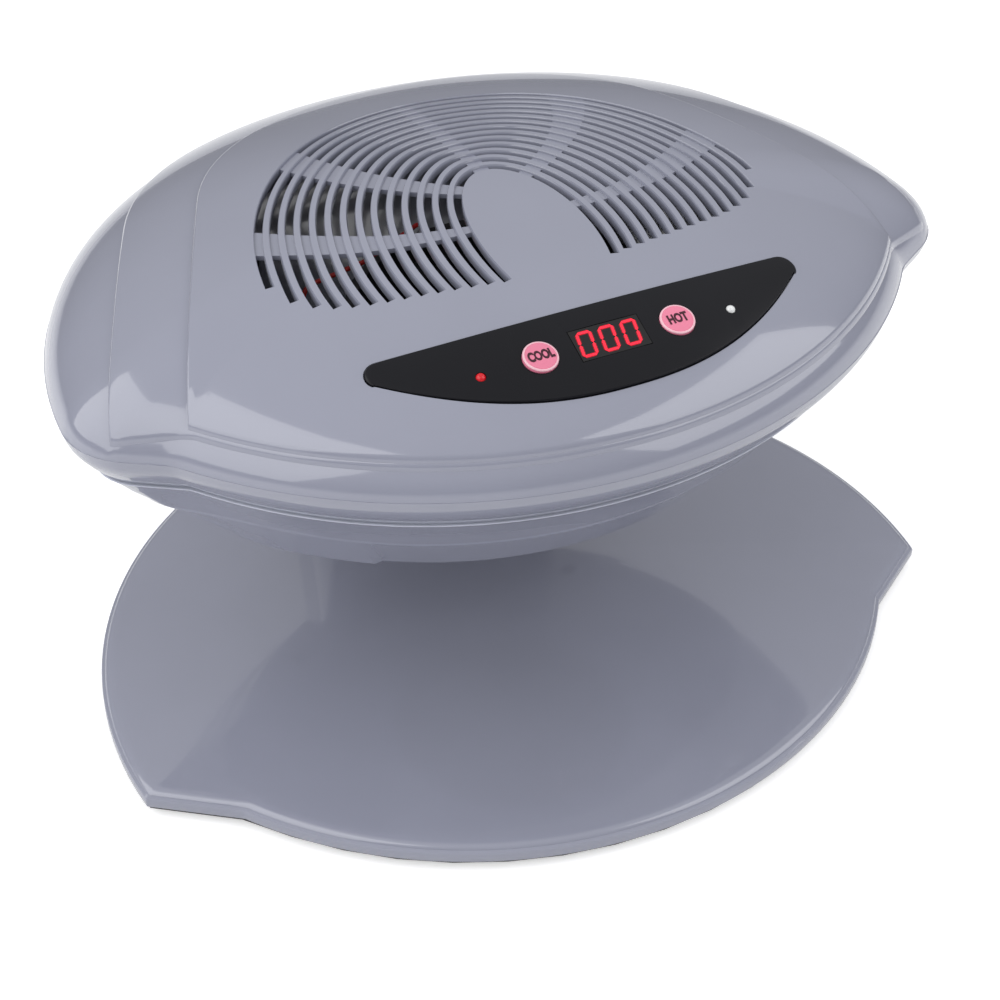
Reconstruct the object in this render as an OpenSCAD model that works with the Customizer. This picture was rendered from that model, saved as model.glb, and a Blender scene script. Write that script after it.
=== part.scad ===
// Nail polish fan dryer: a lens-shaped head with a fan and a heater, held over
// a hand rest by a hollow neck. Front is -Y. The origin is on the table, under
// the middle of the overall plan. Plan sizes below are measured from the centre
// of the head's round back, which lies plan_y behind the origin.

/* [Head plan] */
// Radius of the round back and sides of the head
head_r = 150; // [144:1:156]
// Radius of the front arc of the head
front_r = 158; // [154:1:162]
// Centre of the front arc, behind the head centre
front_c = 69; // [67:1:71]
// Half distance between the two notches where the wings start
notch_x = 121; // [118:1:123]
// Place of the notches, in front of the head centre
notch_y = 30; // [28:1:32]
// Slope of the front edge of a wing
wing_slope = 0.63; // [0.5:0.01:0.7]
// Radius of a wing's outer corner
wing_round = 25; // [15:1:30]
// Centre of the raised plates on the top, behind the head centre
plate_c = 33; // [31:1:35]
// Back radius of the upper raised plate
plate_a_r = 90; // [88:1:93]
// Back radius of the lower raised plate
plate_b_r = 114; // [110:1:117]
// Height of each raised plate's edge
plate_step = 1.2; // [0.8:0.1:1.4]

/* [Head heights] */
// Height of the underside of the head over the table
belly_z = 82; // [78:1:86]
// Height of the seam between the two head shells
seam_z = 121; // [120:1:123]
// Height of the widest line of the head
rim_z = 136; // [135:1:138]
// Rise of the dome over the widest line
dome_h = 37.5; // [36:0.5:40]
// Wall of the head shells
wall = 2.5; // [2.2:0.1:3]
// Shadow gap between the two head shells
seam_gap = 0.3; // [0.2:0.1:0.5]

/* [Grille] */
// Number of air slots
slots = 14; // [10:1:14]
// Half width of the inner slot's loop
slot_r = 19.4; // [18:0.2:21]
// Distance from one slot to the next
slot_pitch = 4.86; // [4.6:0.02:5]
// Width of a slot
slot_w = 2.3; // [1.8:0.1:2.6]
// Centre of the slots, behind the head centre
grille_c = 12.6; // [11:0.2:14]
// Width of the middle spoke
spoke_w = 5.2; // [4:0.2:6]

/* [Control panel] */
// Half length of the leaf-shaped panel
panel_x = 71; // [68:1:72]
// Place of the buttons, in front of the head centre
panel_c = 57.2; // [56:0.2:58]
// Tilt of the panel towards the user
panel_tilt = 19; // [17:1:21]
// Radius of the panel's curve from side to side
panel_r = 380; // [360:5:400]
// Thickness of the panel
panel_t = 1.6; // [1.2:0.1:2]
// Distance of each button from the middle
button_x = 22.4; // [20:0.2:24]
// Radius of a button
button_r = 6.1; // [5.5:0.1:6.4]
// Travel of a button
button_travel = 0.6; // [0.4:0.1:0.8]
// Distance of each lamp from the middle
lamp_x = 41; // [38:0.5:43]
// Radius of a lamp's lens
lamp_r = 1.5; // [1.3:0.1:1.6]
// Width of the display
display_w = 22.5; // [21:0.5:24]
// Height of the display's face
display_h = 11.2; // [10:0.2:13]

/* [Fan and heater] */
// Centre of the fan, behind the head centre
fan_c = 5; // [3:1:7]
// Height of the underside of the fan frame
fan_z = 112.3; // [111:0.1:114]
// Inner radius of the fan frame
fan_r = 51.5; // [49:0.5:52]
// Height of the fan frame
fan_h = 25; // [23:1:26]
// Number of fan blades
blades = 7; // [5:1:9]
// Pitch of the fan blades
blade_pitch = 38; // [30:1:42]
// Radius of the motor shaft
shaft_r = 1.5; // [1.3:0.1:1.8]
// Running clearance round the shaft
shaft_gap = 0.04; // [0.02:0.01:0.06]
// Radius of the air outlet under the head
outlet_r = 47; // [45:1:48]

/* [Base and neck] */
// Radius of the round back and sides of the base
base_r = 149; // [146:1:152]
// Centre of that round back, in front of the head centre
base_c = 6; // [3:1:8]
// Reach of the base in front of the head centre
base_reach = 107.5; // [104:0.5:111]
// Height of the edge band of the base
band_h = 4; // [3:0.5:5]
// Rise of the hand rest towards its middle
rest_rise = 4.5; // [3:0.5:5.5]
// Half width of the neck
neck_x = 52; // [48:1:54]
// Depth of the neck
neck_d = 42; // [40:1:44]
// Front of the neck, behind the head centre
neck_y = 64; // [62:1:65]
// Radius of the neck's corners
neck_corner = 14; // [10:1:16]
// Wall of the base and neck
base_wall = 2.4; // [2:0.1:2.8]
// Height of the rubber feet
foot_h = 2; // [1.5:0.5:3]
// Radius of the rubber feet
foot_r = 6.5; // [5:0.5:8]

/* [Screws] */
// Radius of a screw shank
screw_r = 1.5; // [1.3:0.1:1.7]
// Radius of a screw head
screw_head_r = 2.9; // [2.6:0.1:3.2]

/* [Hidden] */
$fn = 96;

// Overall plan: half way between the head's back and the base's front.
plan_y = -(head_r - base_reach) / 2;
// Circle of the base's front arc, as round as its back.
base_front_c = base_r - base_reach;
base_notch_x = 122;
base_notch_y = 45;
base_wing_slope = 0.7;

// How the head narrows below its widest line: inset and height of each level.
seam_in = 9.5;
belly_in = 38.5;
rim_levels = [[seam_in, seam_z], [4.5, seam_z + 5.5], [1.2, seam_z + 10.5], [0, rim_z]];
bowl_levels = [[belly_in, belly_z], [30, belly_z + 11], [22.5, belly_z + 22],
    [16, belly_z + 30], [seam_in, seam_z - seam_gap]];
// Dome profile: exponents towards the front, the sides and the back.
dome_front = 2.04;
dome_side = 2.1;
dome_back = 1.25;
dome_power = 0.44;
// Part of the dome's radius that the raised plates may reach.
plate_a_max = 0.982;
plate_b_max = 0.992;
plate_edge = 0.004;

screw_hole_r = screw_r + 0.2;
pilot_r = screw_r + 0.02;
post_r = 4;
screw_head_h = 2;

// ---- Plan outlines, as distances from the plan pole in direction a ----
pole = plate_c;
function to_circle(a, c, r) = let (k = pole - c)
    -k * sin(a) + sqrt(r * r - k * k * cos(a) * cos(a));
function to_wing(a, nx, ny, slope, e) = let (
    d = slope * abs(cos(a)) - sin(a),
    t = pole + ny + slope * nx - e * sqrt(1 + slope * slope))
    sin(a) < -0.7 ? 0 : d > 0.01 ? t / d : 2 * head_r;
// Round corner of a wing: its centre, and its ends on the wing and on the back
wing_n = [wing_slope, -1] / norm([wing_slope, -1]);
wing_far = wing_n * [notch_x, -notch_y] - wing_round;
corner_mid = wing_far * wing_n
    + sqrt(pow(head_r - wing_round, 2) - wing_far * wing_far) * [-wing_n[1], wing_n[0]];
function corner_from(e) = corner_mid + (wing_round - e) * wing_n;
function corner_to(e) = corner_mid * (head_r - e) / (head_r - wing_round);
function pole_angle(p) = atan2(p[1] - pole, p[0]);
function to_corner(a, e) = let (k = corner_mid - [0, pole],
    d = k * [abs(cos(a)), sin(a)])
    d + sqrt(max(0, pow(wing_round - e, 2) - k * k + d * d));
function on_corner(a, e) = let (b = cos(a) > 0 ? wrap(a) : 180 - a)
    e < wing_round && b > pole_angle(corner_from(e)) && b < pole_angle(corner_to(e));
// Outline of the head, moved in by e
function head_edge(a, e = 0) = on_corner(a, e) ? to_corner(a, e)
    : min(to_circle(a, 0, head_r - e), max(to_circle(a, front_c, front_r - e),
        to_wing(a, notch_x, notch_y, wing_slope, e)));
// Outline of the base, moved in by e
function base_edge(a, e = 0) = min(to_circle(a, -base_c, base_r - e),
    max(to_circle(a, base_front_c, base_r - e),
        to_wing(a, base_notch_x, base_notch_y, base_wing_slope, e)));
// Straight side from a tip to the round back of a raised plate
function to_side(a, tx, ty, r) = let (
    d = norm([tx, ty + pole]),
    g = atan2(-(ty + pole), tx) + acos(r / d),
    w = cos(a) > 0 ? a - g : 180 - a - g)
    cos(w) > 0.05 ? r / cos(w) : 2 * head_r;
function plate_edge_r(a, tx, ty, r) = let (
    d = norm([tx, ty + pole]),
    g = atan2(-(ty + pole), tx) + acos(r / d),
    b = cos(a) > 0 ? a : 180 - a)
    b > g ? r : to_side(a, tx, ty, r);
function wrap(a) = a > 180 ? a - 360 : a;
wing_x = 141;
wing_y = notch_y - wing_slope * (wing_x - notch_x);
function share_a(a) = min(plate_a_max,
    plate_edge_r(wrap(a), notch_x, notch_y, plate_a_r) / head_edge(a));
function share_b(a) = min(plate_b_max,
    plate_edge_r(wrap(a), wing_x, wing_y, plate_b_r) / head_edge(a));

// Angles round the plan: the notches, the wing's corner and the base's tip are among them.
base_notch_a = pole_angle([base_notch_x, -base_notch_y]);
notch_a = pole_angle([notch_x, -notch_y]);
base_tip_a = -22.2;
round_a = pole_angle(corner_from(0));
tip_a = pole_angle(corner_to(0));
// A list of different numbers from its least to its greatest
function sorted(v) = len(v) < 2 ? v : let (m = v[0])
    concat(sorted([for (x = v) if (x < m) x]), [m], sorted([for (x = v) if (x > m) x]));
right_a = sorted(concat([for (i = [0:7]) -90 + (90 + base_notch_a) * i / 8],
    [base_notch_a, notch_a, (notch_a + base_tip_a) / 2, base_tip_a],
    [for (i = [0:3]) round_a + (tip_a - round_a) * i / 4],
    [for (i = [0:14]) tip_a + (90 - tip_a) * i / 15]));
angles = concat(right_a, [90], [for (i = [len(right_a) - 1:-1:1]) 180 - right_a[i]]);
count = len(angles);

// Height of the dome at share s of its radius, in direction a
function dome_exp(a) = dome_side
    + (dome_front - dome_side) * pow(max(0, -sin(a)), 2)
    + (dome_back - dome_side) * pow(max(0, sin(a)), 2);
function dome_z(a, s) = rim_z + dome_h * pow(1 - pow(min(s, 1), dome_exp(a)), dome_power);
// Height of the top plate's surface over a point of the plan
function top_z(x, y) = let (a = atan2(y - pole, x), r = norm([x, y - pole]))
    dome_z(a, r / head_edge(a));

function at(a, r, z) = [r * cos(a), pole + r * sin(a), z];
// Level ring of the head or base outline
function head_ring(e, z) = [for (a = angles) at(a, head_edge(a, e), z)];
function base_ring(e, z) = [for (a = angles) at(a, base_edge(a, e), z)];
function flat_ring(s, e, z) = [for (a = angles) at(a, s * head_edge(a, e), z)];

// ---- Lofted solid through rings of equal length, capped at both ends ----
module loft(rings) {
    m = len(rings);
    n = len(rings[0]);
    points = [for (r = rings, p = r) p];
    sides = [for (i = [0:m - 2], j = [0:n - 1]) let (k = (j + 1) % n)
        each [[i * n + j, (i + 1) * n + j, i * n + k],
            [i * n + k, (i + 1) * n + j, (i + 1) * n + k]]];
    low = [[for (j = [0:n - 1]) j]];
    high = [[for (j = [n - 1:-1:0]) (m - 1) * n + j]];
    polyhedron(points, concat(low, sides, high));
}

// Rings of the dome from its rim to its middle, lowered by d and moved in by e
function dome_rings(d, e) = concat(
    [for (f = [0.5, 0]) [for (a = angles) let (s = share_b(a) + plate_edge,
        t = s + (1 - s) * f) at(a, t * (head_edge(a) - e), dome_z(a, t) - 2 * plate_step - d)]],
    [for (f = [1, 0.5, 0]) [for (a = angles) let (s = share_a(a) + plate_edge,
        t = s + (share_b(a) - plate_edge - s) * f)
        at(a, t * (head_edge(a) - e), dome_z(a, t) - plate_step - d)]],
    [for (f = [1, 0.84, 0.66, 0.46, 0.26]) [for (a = angles)
        let (t = (share_a(a) - plate_edge) * f)
        at(a, t * (head_edge(a) - e), dome_z(a, t) - d)]],
    [flat_ring(0.09, e, rim_z + dome_h - 0.6 - d)]);
function inner_dome_rings(d, e) = concat(
    [for (f = [0.97, 0.88, 0.74, 0.58, 0.42, 0.26]) [for (a = angles)
        at(a, f * (head_edge(a) - e), dome_z(a, f) - d)]],
    [flat_ring(0.09, e, rim_z + dome_h - 0.6 - d)]);
function reversed(v) = [for (i = [len(v) - 1:-1:0]) v[i]];
dome_wall = wall + 2 * plate_step;
inner_rim = [for (l = rim_levels) head_ring(l[0] + wall, l[1])];
module upper_skin() {
    loft(concat(reversed(concat(inner_rim, inner_dome_rings(dome_wall, wall))),
        [for (l = rim_levels) head_ring(l[0], l[1])], dome_rings(0, 0)));
}
module lower_skin() {
    inner = [for (l = bowl_levels) head_ring(l[0] + wall + 0.4,
        l[1] + (l[1] > seam_z - 2 ? 0 : wall))];
    loft(concat([flat_ring(0.1, belly_in, belly_z)],
        [for (l = bowl_levels) head_ring(l[0], l[1])], reversed(inner),
        [flat_ring(0.1, belly_in, belly_z + wall)]));
}

// ---- Shared small shapes ----
module plan() {
    translate([0, plan_y, 0]) children();
}
module mirrored() {
    children();
    mirror([1, 0, 0]) children();
}
// Screw with its head's seat at the origin, pointing up
module screw(length) {
    cylinder(r = screw_r, h = length, $fn = 32);
    translate([0, 0, -screw_head_h]) difference() {
        cylinder(r = screw_head_r, h = screw_head_h, $fn = 32);
        for (a = [0, 90]) rotate([0, 0, a])
            translate([-1.8, -0.4, -0.5]) cube([3.6, 0.8, 1.5]);
    }
}
module rounded_rect(x, y, r) {
    square([2 * x, y - 2 * r], center = true);
    square([2 * x - 2 * r, y], center = true);
    for (i = [-1, 1], j = [-1, 1])
        translate([i * (x - r), j * (y / 2 - r)]) circle(r);
}
module tube(r_out, r_in, h) {
    difference() {
        cylinder(r = r_out, h = h);
        translate([0, 0, -1]) cylinder(r = r_in, h = h + 2);
    }
}

// ---- Grille ----
grille_out = slot_r + (slots - 1) * slot_pitch;
slot_steps = 28;
// Each slot is most of an oval: its middle, its half depth and its roundness, from its half width
slot_mid = -22.6;
slot_rise = 41;
slot_round = 2;
function share_out(r) = (r - slot_r) / 63.2;
function oval_mid(r) = slot_mid + 5 * share_out(r);
function oval_rise(r) = slot_rise + 58 * share_out(r);
function oval_round(r) = slot_round - 0.15 * share_out(r);
// Front end of a slot, from the grille's centre
function leg_end(r) = -(42.3 - 0.19 * r) + 17 * pow(r / grille_out, 10);
// Bowed line from p to q: d is how far its middle swings out to the right
function bowed(p, q, d) = [for (i = [0:8]) let (t = i / 8, n = (q - p) / norm(q - p))
    p + t * (q - p) + [n[1], -n[0]] * d * 4 * t * (1 - t)];
function end_turn(r) = let (d = (leg_end(r) - oval_mid(r)) / oval_rise(r))
    sign(d) * asin(pow(abs(d), oval_round(r) / 2));
function signed(v, e) = sign(v) * pow(abs(v), e);
function on_oval(r, t) = let (e = 2 / oval_round(r))
    [r * signed(cos(t), e), oval_mid(r) + oval_rise(r) * signed(sin(t), e)];
// Points of a slot's edge at the given distance to the outside of its middle line
function slot_edge(r, d) = let (from = end_turn(r)) [for (i = [0:slot_steps])
    let (t = from + (180 - 2 * from) * i / slot_steps, n = on_oval(r, t + 1) - on_oval(r, t - 1))
    on_oval(r, t) + d * [n[1], -n[0]] / norm(n)];
// One slot: an oval that is open at the front
module slot(r) {
    polygon(concat(slot_edge(r, slot_w / 2), reversed(slot_edge(r, -slot_w / 2))));
}
module slot_field() {
    difference() {
        for (k = [0:slots - 1]) slot(slot_r + k * slot_pitch);
        square_spoke();
        mirrored() {
            bowed_spoke([16, -12.3], [84, 11.5], 6.1, [16, -9.2], [82, 27.5], 7);
            bowed_spoke([9, 6.6], [58, 64], 8.6, [7, 10.2], [47.5, 75], 8.7);
        }
    }
}
module square_spoke() {
    translate([-spoke_w / 2, slot_r / 2]) square([spoke_w, grille_out + slot_r / 2]);
}
module bowed_spoke(p, q, d, p2, q2, d2) {
    polygon(concat(bowed(p, q, d), reversed(bowed(p2, q2, d2))));
}

// ---- Control panel ----
// The panel's own frame: origin on the dome between the buttons, Z outwards
module on_panel() {
    translate([0, -panel_c, top_z(0, -panel_c)]) rotate([panel_tilt, 0, 0]) children();
}
// How far the curved panel lies under its middle at x
function sag(x) = panel_r - sqrt(panel_r * panel_r - x * x);
panel_proud = 0.2;
panel_low = 17.2;
panel_high = 13.4;
panel_rise = 3.3;
panel_tip_r = 5.7;
panel_fit = 0.15;
// Lower edge of the leaf at x
function leaf_low(x) = -panel_low + 28.3 * pow(abs(x) / panel_x, 2.26);
module leaf(grow = 0) {
    tip = [panel_x - panel_tip_r, panel_high + panel_rise - panel_tip_r];
    r = panel_tip_r + grow;
    right = [for (a = [90:-14:-50]) tip + r * [cos(a), sin(a)]];
    bottom = [for (i = [14:-1:-14]) let (x = i / 14 * (tip[0] + 1)) [x, leaf_low(x) - grow]];
    top = [for (i = [-6:6]) [i / 7 * tip[0], panel_high + grow + panel_rise * i * i / 49]];
    polygon(concat(right, bottom, [for (p = reversed(right)) [-p[0], p[1]]], top));
}
module panel_slab(t, grow = 0) {
    intersection() {
        translate([0, 0, -20]) linear_extrude(30) leaf(grow);
        translate([0, 60, panel_proud - panel_r]) rotate([90, 0, 0]) difference() {
            cylinder(r = panel_r, h = 120, $fn = 360);
            translate([0, 0, -1]) cylinder(r = panel_r - t, h = 122, $fn = 360);
        }
    }
}
board_top = -12.5;
board_t = 1.6;
board_x = 56;
board_post_x = 51.5;
switch_h = 3.5;
switch_w = 6.2;
plunger_r = 1.75;
flange_t = 1.2;
flange_gap = 0.85;
button_gap = 0.15;
button_proud = 0.9;
plunger_top = board_top + switch_h + 1;
lamp_gap = 0.1;
display_deep = 8;
display_gap = 0.2;

// ---- Head ----
head_posts = [[70, -22], [62, 78]];
head_post_z = seam_z;
module at_head_posts() {
    for (p = head_posts) mirrored() translate([p[0], p[1], 0]) children();
}
module upper_shell() color([0.57, 0.59, 0.64]) plan() difference() {
    union() {
        upper_skin();
        for (p = head_posts) mirrored() translate([p[0], p[1], head_post_z])
            cylinder(r = post_r, h = top_z(p[0], p[1]) - dome_wall + 1.6 - head_post_z);
        on_panel() for (i = [-1, 1]) translate([i * board_post_x, 0, board_top])
            cylinder(r = 3, h = -board_top - sag(board_post_x) - panel_t - 0.8);
    }
    translate([0, grille_c, seam_z]) linear_extrude(dome_h + rim_z - seam_z + 5) slot_field();
    at_head_posts() translate([0, 0, head_post_z - 1]) cylinder(r = pilot_r, h = 14, $fn = 32);
    on_panel() {
        panel_slab(panel_t + 0.05 + panel_proud, panel_fit);
        for (i = [-1, 1]) {
            translate([i * button_x, 0, -20]) cylinder(r = button_r + 2, h = 30);
            translate([i * lamp_x, 0, -20]) cylinder(r = lamp_r + lamp_gap, h = 30, $fn = 32);
            translate([i * board_post_x, 0, board_top - 1])
                cylinder(r = pilot_r, h = 6, $fn = 32);
        }
        translate([-display_w / 2 - display_gap, -display_h / 2 - display_gap, -20])
            cube([display_w + 2 * display_gap, display_h + 2 * display_gap, 30]);
    }
}

head_seat_z = head_post_z - 6;
grille_flange = 4.7;
module lower_shell() color([0.55, 0.57, 0.62]) plan() difference() {
    union() {
        lower_skin();
        at_head_posts() translate([0, 0, belly_z + 0.5])
            cylinder(r = post_r + 0.5, h = head_post_z - seam_gap - belly_z - 0.5);
        at_fan_posts() translate([0, 0, belly_z + 0.5])
            cylinder(r = post_r, h = fan_z - belly_z - 0.5);
        at_board_posts() translate([0, 0, belly_z + 0.5])
            cylinder(r = 3, h = board_z - belly_z - 0.5);
    }
    translate([0, fan_c, belly_z - 1]) cylinder(r = outlet_r, h = wall + 2);
    translate([0, neck_y + neck_d / 2, belly_z - 1])
        linear_extrude(wall + 2) rounded_rect(neck_x - 30, neck_d - 22, 6);
    at_head_posts() {
        translate([0, 0, belly_z - 1])
            cylinder(r = screw_head_r + 0.4, h = head_seat_z - belly_z + 1, $fn = 32);
        translate([0, 0, belly_z]) cylinder(r = screw_hole_r, h = 60, $fn = 32);
    }
    at_fan_posts() translate([0, 0, fan_z - 10]) cylinder(r = pilot_r, h = 12, $fn = 32);
    at_board_posts() translate([0, 0, board_z - 8]) cylinder(r = pilot_r, h = 10, $fn = 32);
    at_neck_screws() translate([0, 0, belly_z - 1])
        cylinder(r = screw_hole_r, h = wall + 2, $fn = 32);
}

module outlet_grille() color([0.3, 0.31, 0.34]) plan() translate([0, fan_c, 0]) difference() {
    union() {
        translate([0, 0, belly_z + wall]) cylinder(r = outlet_r + grille_flange, h = 1.6);
        translate([0, 0, belly_z + 0.6]) cylinder(r = outlet_r - 0.2, h = wall);
    }
    intersection() {
        for (y = [-40:5:40]) translate([-outlet_r, y - 1.5, belly_z - 1])
            cube([2 * outlet_r, 3, 10]);
        difference() {
            translate([0, 0, belly_z - 1]) cylinder(r = outlet_r - 3, h = 10);
            for (a = [-12, 12]) translate([a - 1.2, -outlet_r, belly_z - 1])
                cube([2.4, 2 * outlet_r, 10]);
        }
    }
}

module head_screws() color([0.7, 0.7, 0.72]) plan() at_head_posts()
    translate([0, 0, head_seat_z]) screw(18);

// ---- Control panel parts ----
module control_panel() color([0.03, 0.03, 0.035]) plan() on_panel() difference() {
    panel_slab(panel_t);
    for (i = [-1, 1]) {
        translate([i * button_x, 0, -20]) cylinder(r = button_r + button_gap, h = 30);
        translate([i * lamp_x, 0, -20]) cylinder(r = lamp_r + lamp_gap, h = 30, $fn = 32);
    }
    translate([-display_w / 2 - display_gap, -display_h / 2 - display_gap, -20])
        cube([display_w + 2 * display_gap, display_h + 2 * display_gap, 30]);
}

// Push button at x: cap through the panel, flange behind it, stem to the switch
module button(x) {
    under = panel_proud - panel_t - sag(x);
    translate([x, 0, 0]) {
        translate([0, 0, under - flange_gap]) cylinder(r = button_r, h = panel_t + flange_gap
            + button_proud);
        translate([0, 0, under - flange_gap - flange_t])
            cylinder(r = button_r + 1.2, h = flange_t);
        translate([0, 0, plunger_top])
            cylinder(r = 2.2, h = under - flange_gap - flange_t - plunger_top);
    }
}
module cool_button() color([0.93, 0.6, 0.66]) plan() on_panel() button(-button_x);
module hot_button() color([0.93, 0.6, 0.66]) plan() on_panel() button(button_x);

module plunger(x) {
    translate([x, 0, board_top + button_travel + 0.4])
        cylinder(r = plunger_r, h = plunger_top - board_top - button_travel - 0.4, $fn = 32);
}
module cool_plunger() color([0.1, 0.1, 0.1]) plan() on_panel() plunger(-button_x);
module hot_plunger() color([0.1, 0.1, 0.1]) plan() on_panel() plunger(button_x);

module tact_switches() color([0.15, 0.15, 0.16]) plan() on_panel() for (i = [-1, 1])
    translate([i * button_x, 0, board_top]) difference() {
        translate([-switch_w / 2, -switch_w / 2, 0]) cube([switch_w, switch_w, switch_h]);
        translate([0, 0, 0.2]) cylinder(r = plunger_r + 0.08, h = switch_h, $fn = 32);
    }

pins = 6;
module display_module() color([0.12, 0.03, 0.03]) plan() on_panel() {
    translate([-display_w / 2, -display_h / 2, panel_proud - 0.1 - display_deep])
        cube([display_w, display_h, display_deep]);
    for (i = [0:pins - 1], j = [-1, 1])
        translate([(i - (pins - 1) / 2) * 2.54, j * (display_h / 2 - 1.6), board_top])
            cylinder(r = 0.35, h = panel_proud - display_deep - board_top, $fn = 24);
}

// Seven-segment figures, leaning to the right
digit_h = 8;
digit_w = 4.4;
segment_w = 1;
digit_pitch = 7.2;
function lean(p) = [p[0] + 0.14 * p[1], p[1]];
module bar(p, q) {
    n = (q - p) / norm(q - p);
    s = [n[1], -n[0]] * segment_w / 2;
    e = n * (segment_w / 2 + 0.08);
    a = p + n * 0.08;
    b = q - n * 0.08;
    polygon([for (v = [a, p + e + s, q - e + s, b, q - e - s, p + e - s]) lean(v)]);
}
module figure_zero() {
    x = digit_w / 2;
    y = digit_h / 2;
    for (i = [-1, 1]) {
        bar([-x, i * y], [x, i * y]);
        bar([i * x, 0], [i * x, y]);
        bar([i * x, -y], [i * x, 0]);
    }
}
module display_digits() color([1, 0.16, 0.1]) plan() on_panel()
    translate([0, 0, panel_proud - 0.1]) linear_extrude(0.12)
    for (k = [-1, 0, 1]) translate([k * digit_pitch - 0.3, 0]) {
        figure_zero();
        translate(lean([digit_w / 2 + 1.5, -digit_h / 2])) circle(0.45, $fn = 24);
    }

module lamp(x) {
    top = panel_proud - sag(x) - 0.6;
    translate([x, 0, 0]) {
        translate([0, 0, board_top + 1]) cylinder(r = lamp_r, h = top - board_top - 1, $fn = 32);
        translate([0, 0, top]) sphere(r = lamp_r, $fn = 32);
        for (i = [-1, 1]) translate([i * 0.8, 0, board_top])
            cylinder(r = 0.3, h = 2, $fn = 24);
    }
}
module cool_lamp() color([0.75, 0.05, 0.05]) plan() on_panel() lamp(-lamp_x);
module hot_lamp() color([0.9, 0.9, 0.88]) plan() on_panel() lamp(lamp_x);

module control_board() color([0.05, 0.3, 0.16]) plan() on_panel()
    translate([0, 0, board_top - board_t]) difference() {
        translate([-board_x, -9.5, 0]) cube([2 * board_x, 19, board_t]);
        for (i = [-1, 1]) translate([i * board_post_x, 0, -1])
            cylinder(r = screw_hole_r, h = board_t + 2, $fn = 32);
    }
module board_screws() color([0.7, 0.7, 0.72]) plan() {
    on_panel() for (i = [-1, 1])
        translate([i * board_post_x, 0, board_top - board_t]) screw(6);
    at_board_posts() translate([0, 0, board_z + board_t]) rotate([180, 0, 0]) screw(7);
}

// ---- Fan ----
ear_r = fan_r + 11.5;
ear_h = 4;
frame_t = 3.5;
hub_r = 18.5;
bearing_r = shaft_r + 2;
tube_t = 1.5;
bridge_h = 2;
hub_gap = 1;
magnet_t = 1.8;
hub_t = 1.5;
module at_fan_posts() {
    translate([0, fan_c, 0]) for (a = [45:90:315]) rotate([0, 0, a])
        translate([ear_r, 0, 0]) children();
}
module fan_frame() color([0.07, 0.07, 0.08]) plan() {
    difference() {
        union() {
            translate([0, fan_c, fan_z]) cylinder(r = fan_r + frame_t, h = fan_h);
            translate([0, fan_c, fan_z]) for (a = [45:90:315]) rotate([0, 0, a])
                translate([fan_r, -5.5, 0]) cube([ear_r - fan_r, 11, ear_h]);
            at_fan_posts() translate([0, 0, fan_z]) cylinder(r = 5.5, h = ear_h);
        }
        translate([0, fan_c, fan_z - 1]) cylinder(r = fan_r, h = fan_h + 2);
        at_fan_posts() translate([0, 0, fan_z - 1])
            cylinder(r = screw_hole_r, h = ear_h + 2, $fn = 32);
    }
    translate([0, fan_c, fan_z]) difference() {
        union() {
            cylinder(r = hub_r - 1, h = bridge_h);
            cylinder(r = bearing_r + tube_t, h = fan_h - 8);
            for (a = [30:120:270]) rotate([0, 0, a])
                translate([0, -3, 0]) cube([fan_r + 1, 6, bridge_h]);
        }
        translate([0, 0, bridge_h]) cylinder(r = bearing_r, h = fan_h);
    }
}
module fan_screws() color([0.7, 0.7, 0.72]) plan() at_fan_posts()
    translate([0, 0, fan_z + ear_h]) rotate([180, 0, 0]) screw(12);
module shaft_bearing() color([0.72, 0.55, 0.3]) plan() translate([0, fan_c, fan_z + bridge_h])
    tube(bearing_r, shaft_r + shaft_gap, fan_h - 8 - bridge_h);
module stator_coil() color([0.7, 0.38, 0.16]) plan()
    translate([0, fan_c, fan_z + bridge_h + 1.5]) difference() {
        union() {
            cylinder(r = bearing_r + tube_t + 2.5, h = 12);
            for (a = [0:90:270]) rotate([0, 0, a]) {
                translate([0, -2.5, 3]) cube([11, 5, 6]);
                translate([6, -4.2, 1.5]) cube([4, 8.4, 9]);
            }
            translate([0, 0, -1.5]) cylinder(r = bearing_r + tube_t + 1, h = 2);
        }
        translate([0, 0, -2]) cylinder(r = bearing_r + tube_t, h = 16);
    }
hub_low = fan_z + bridge_h + hub_gap;
hub_top = fan_z + fan_h - 1;
module fan_impeller() color([0.09, 0.09, 0.1]) plan() translate([0, fan_c, 0]) {
    difference() {
        union() {
            translate([0, 0, hub_low]) difference() {
                cylinder(r = hub_r, h = hub_top - hub_low);
                translate([0, 0, -1]) cylinder(r = hub_r - hub_t, h = hub_top - hub_low - 1);
            }
            translate([0, 0, fan_z + fan_h - 6]) cylinder(r = shaft_r + 2, h = 4);
        }
        translate([0, 0, hub_low]) cylinder(r = shaft_r, h = hub_top - hub_low - 1);
    }
    for (a = [0:360 / blades:359]) rotate([0, 0, a]) intersection() {
        translate([hub_r - 0.6, 0, (hub_low + hub_top) / 2]) rotate([blade_pitch, 0, 0])
            translate([0, -14, -0.8]) cube([fan_r, 28, 1.6]);
        translate([0, 0, hub_low + 0.5]) cylinder(r = fan_r - 2, h = hub_top - hub_low - 1);
    }
}
module rotor_magnet() color([0.25, 0.25, 0.27]) plan() translate([0, fan_c, hub_low + 0.5])
    tube(hub_r - hub_t, hub_r - hub_t - magnet_t, 14);
module motor_shaft() color([0.8, 0.8, 0.82]) plan()
    translate([0, fan_c, fan_z + bridge_h + 0.2])
    cylinder(r = shaft_r, h = hub_top - 2 - fan_z - bridge_h - 0.2);

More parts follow.
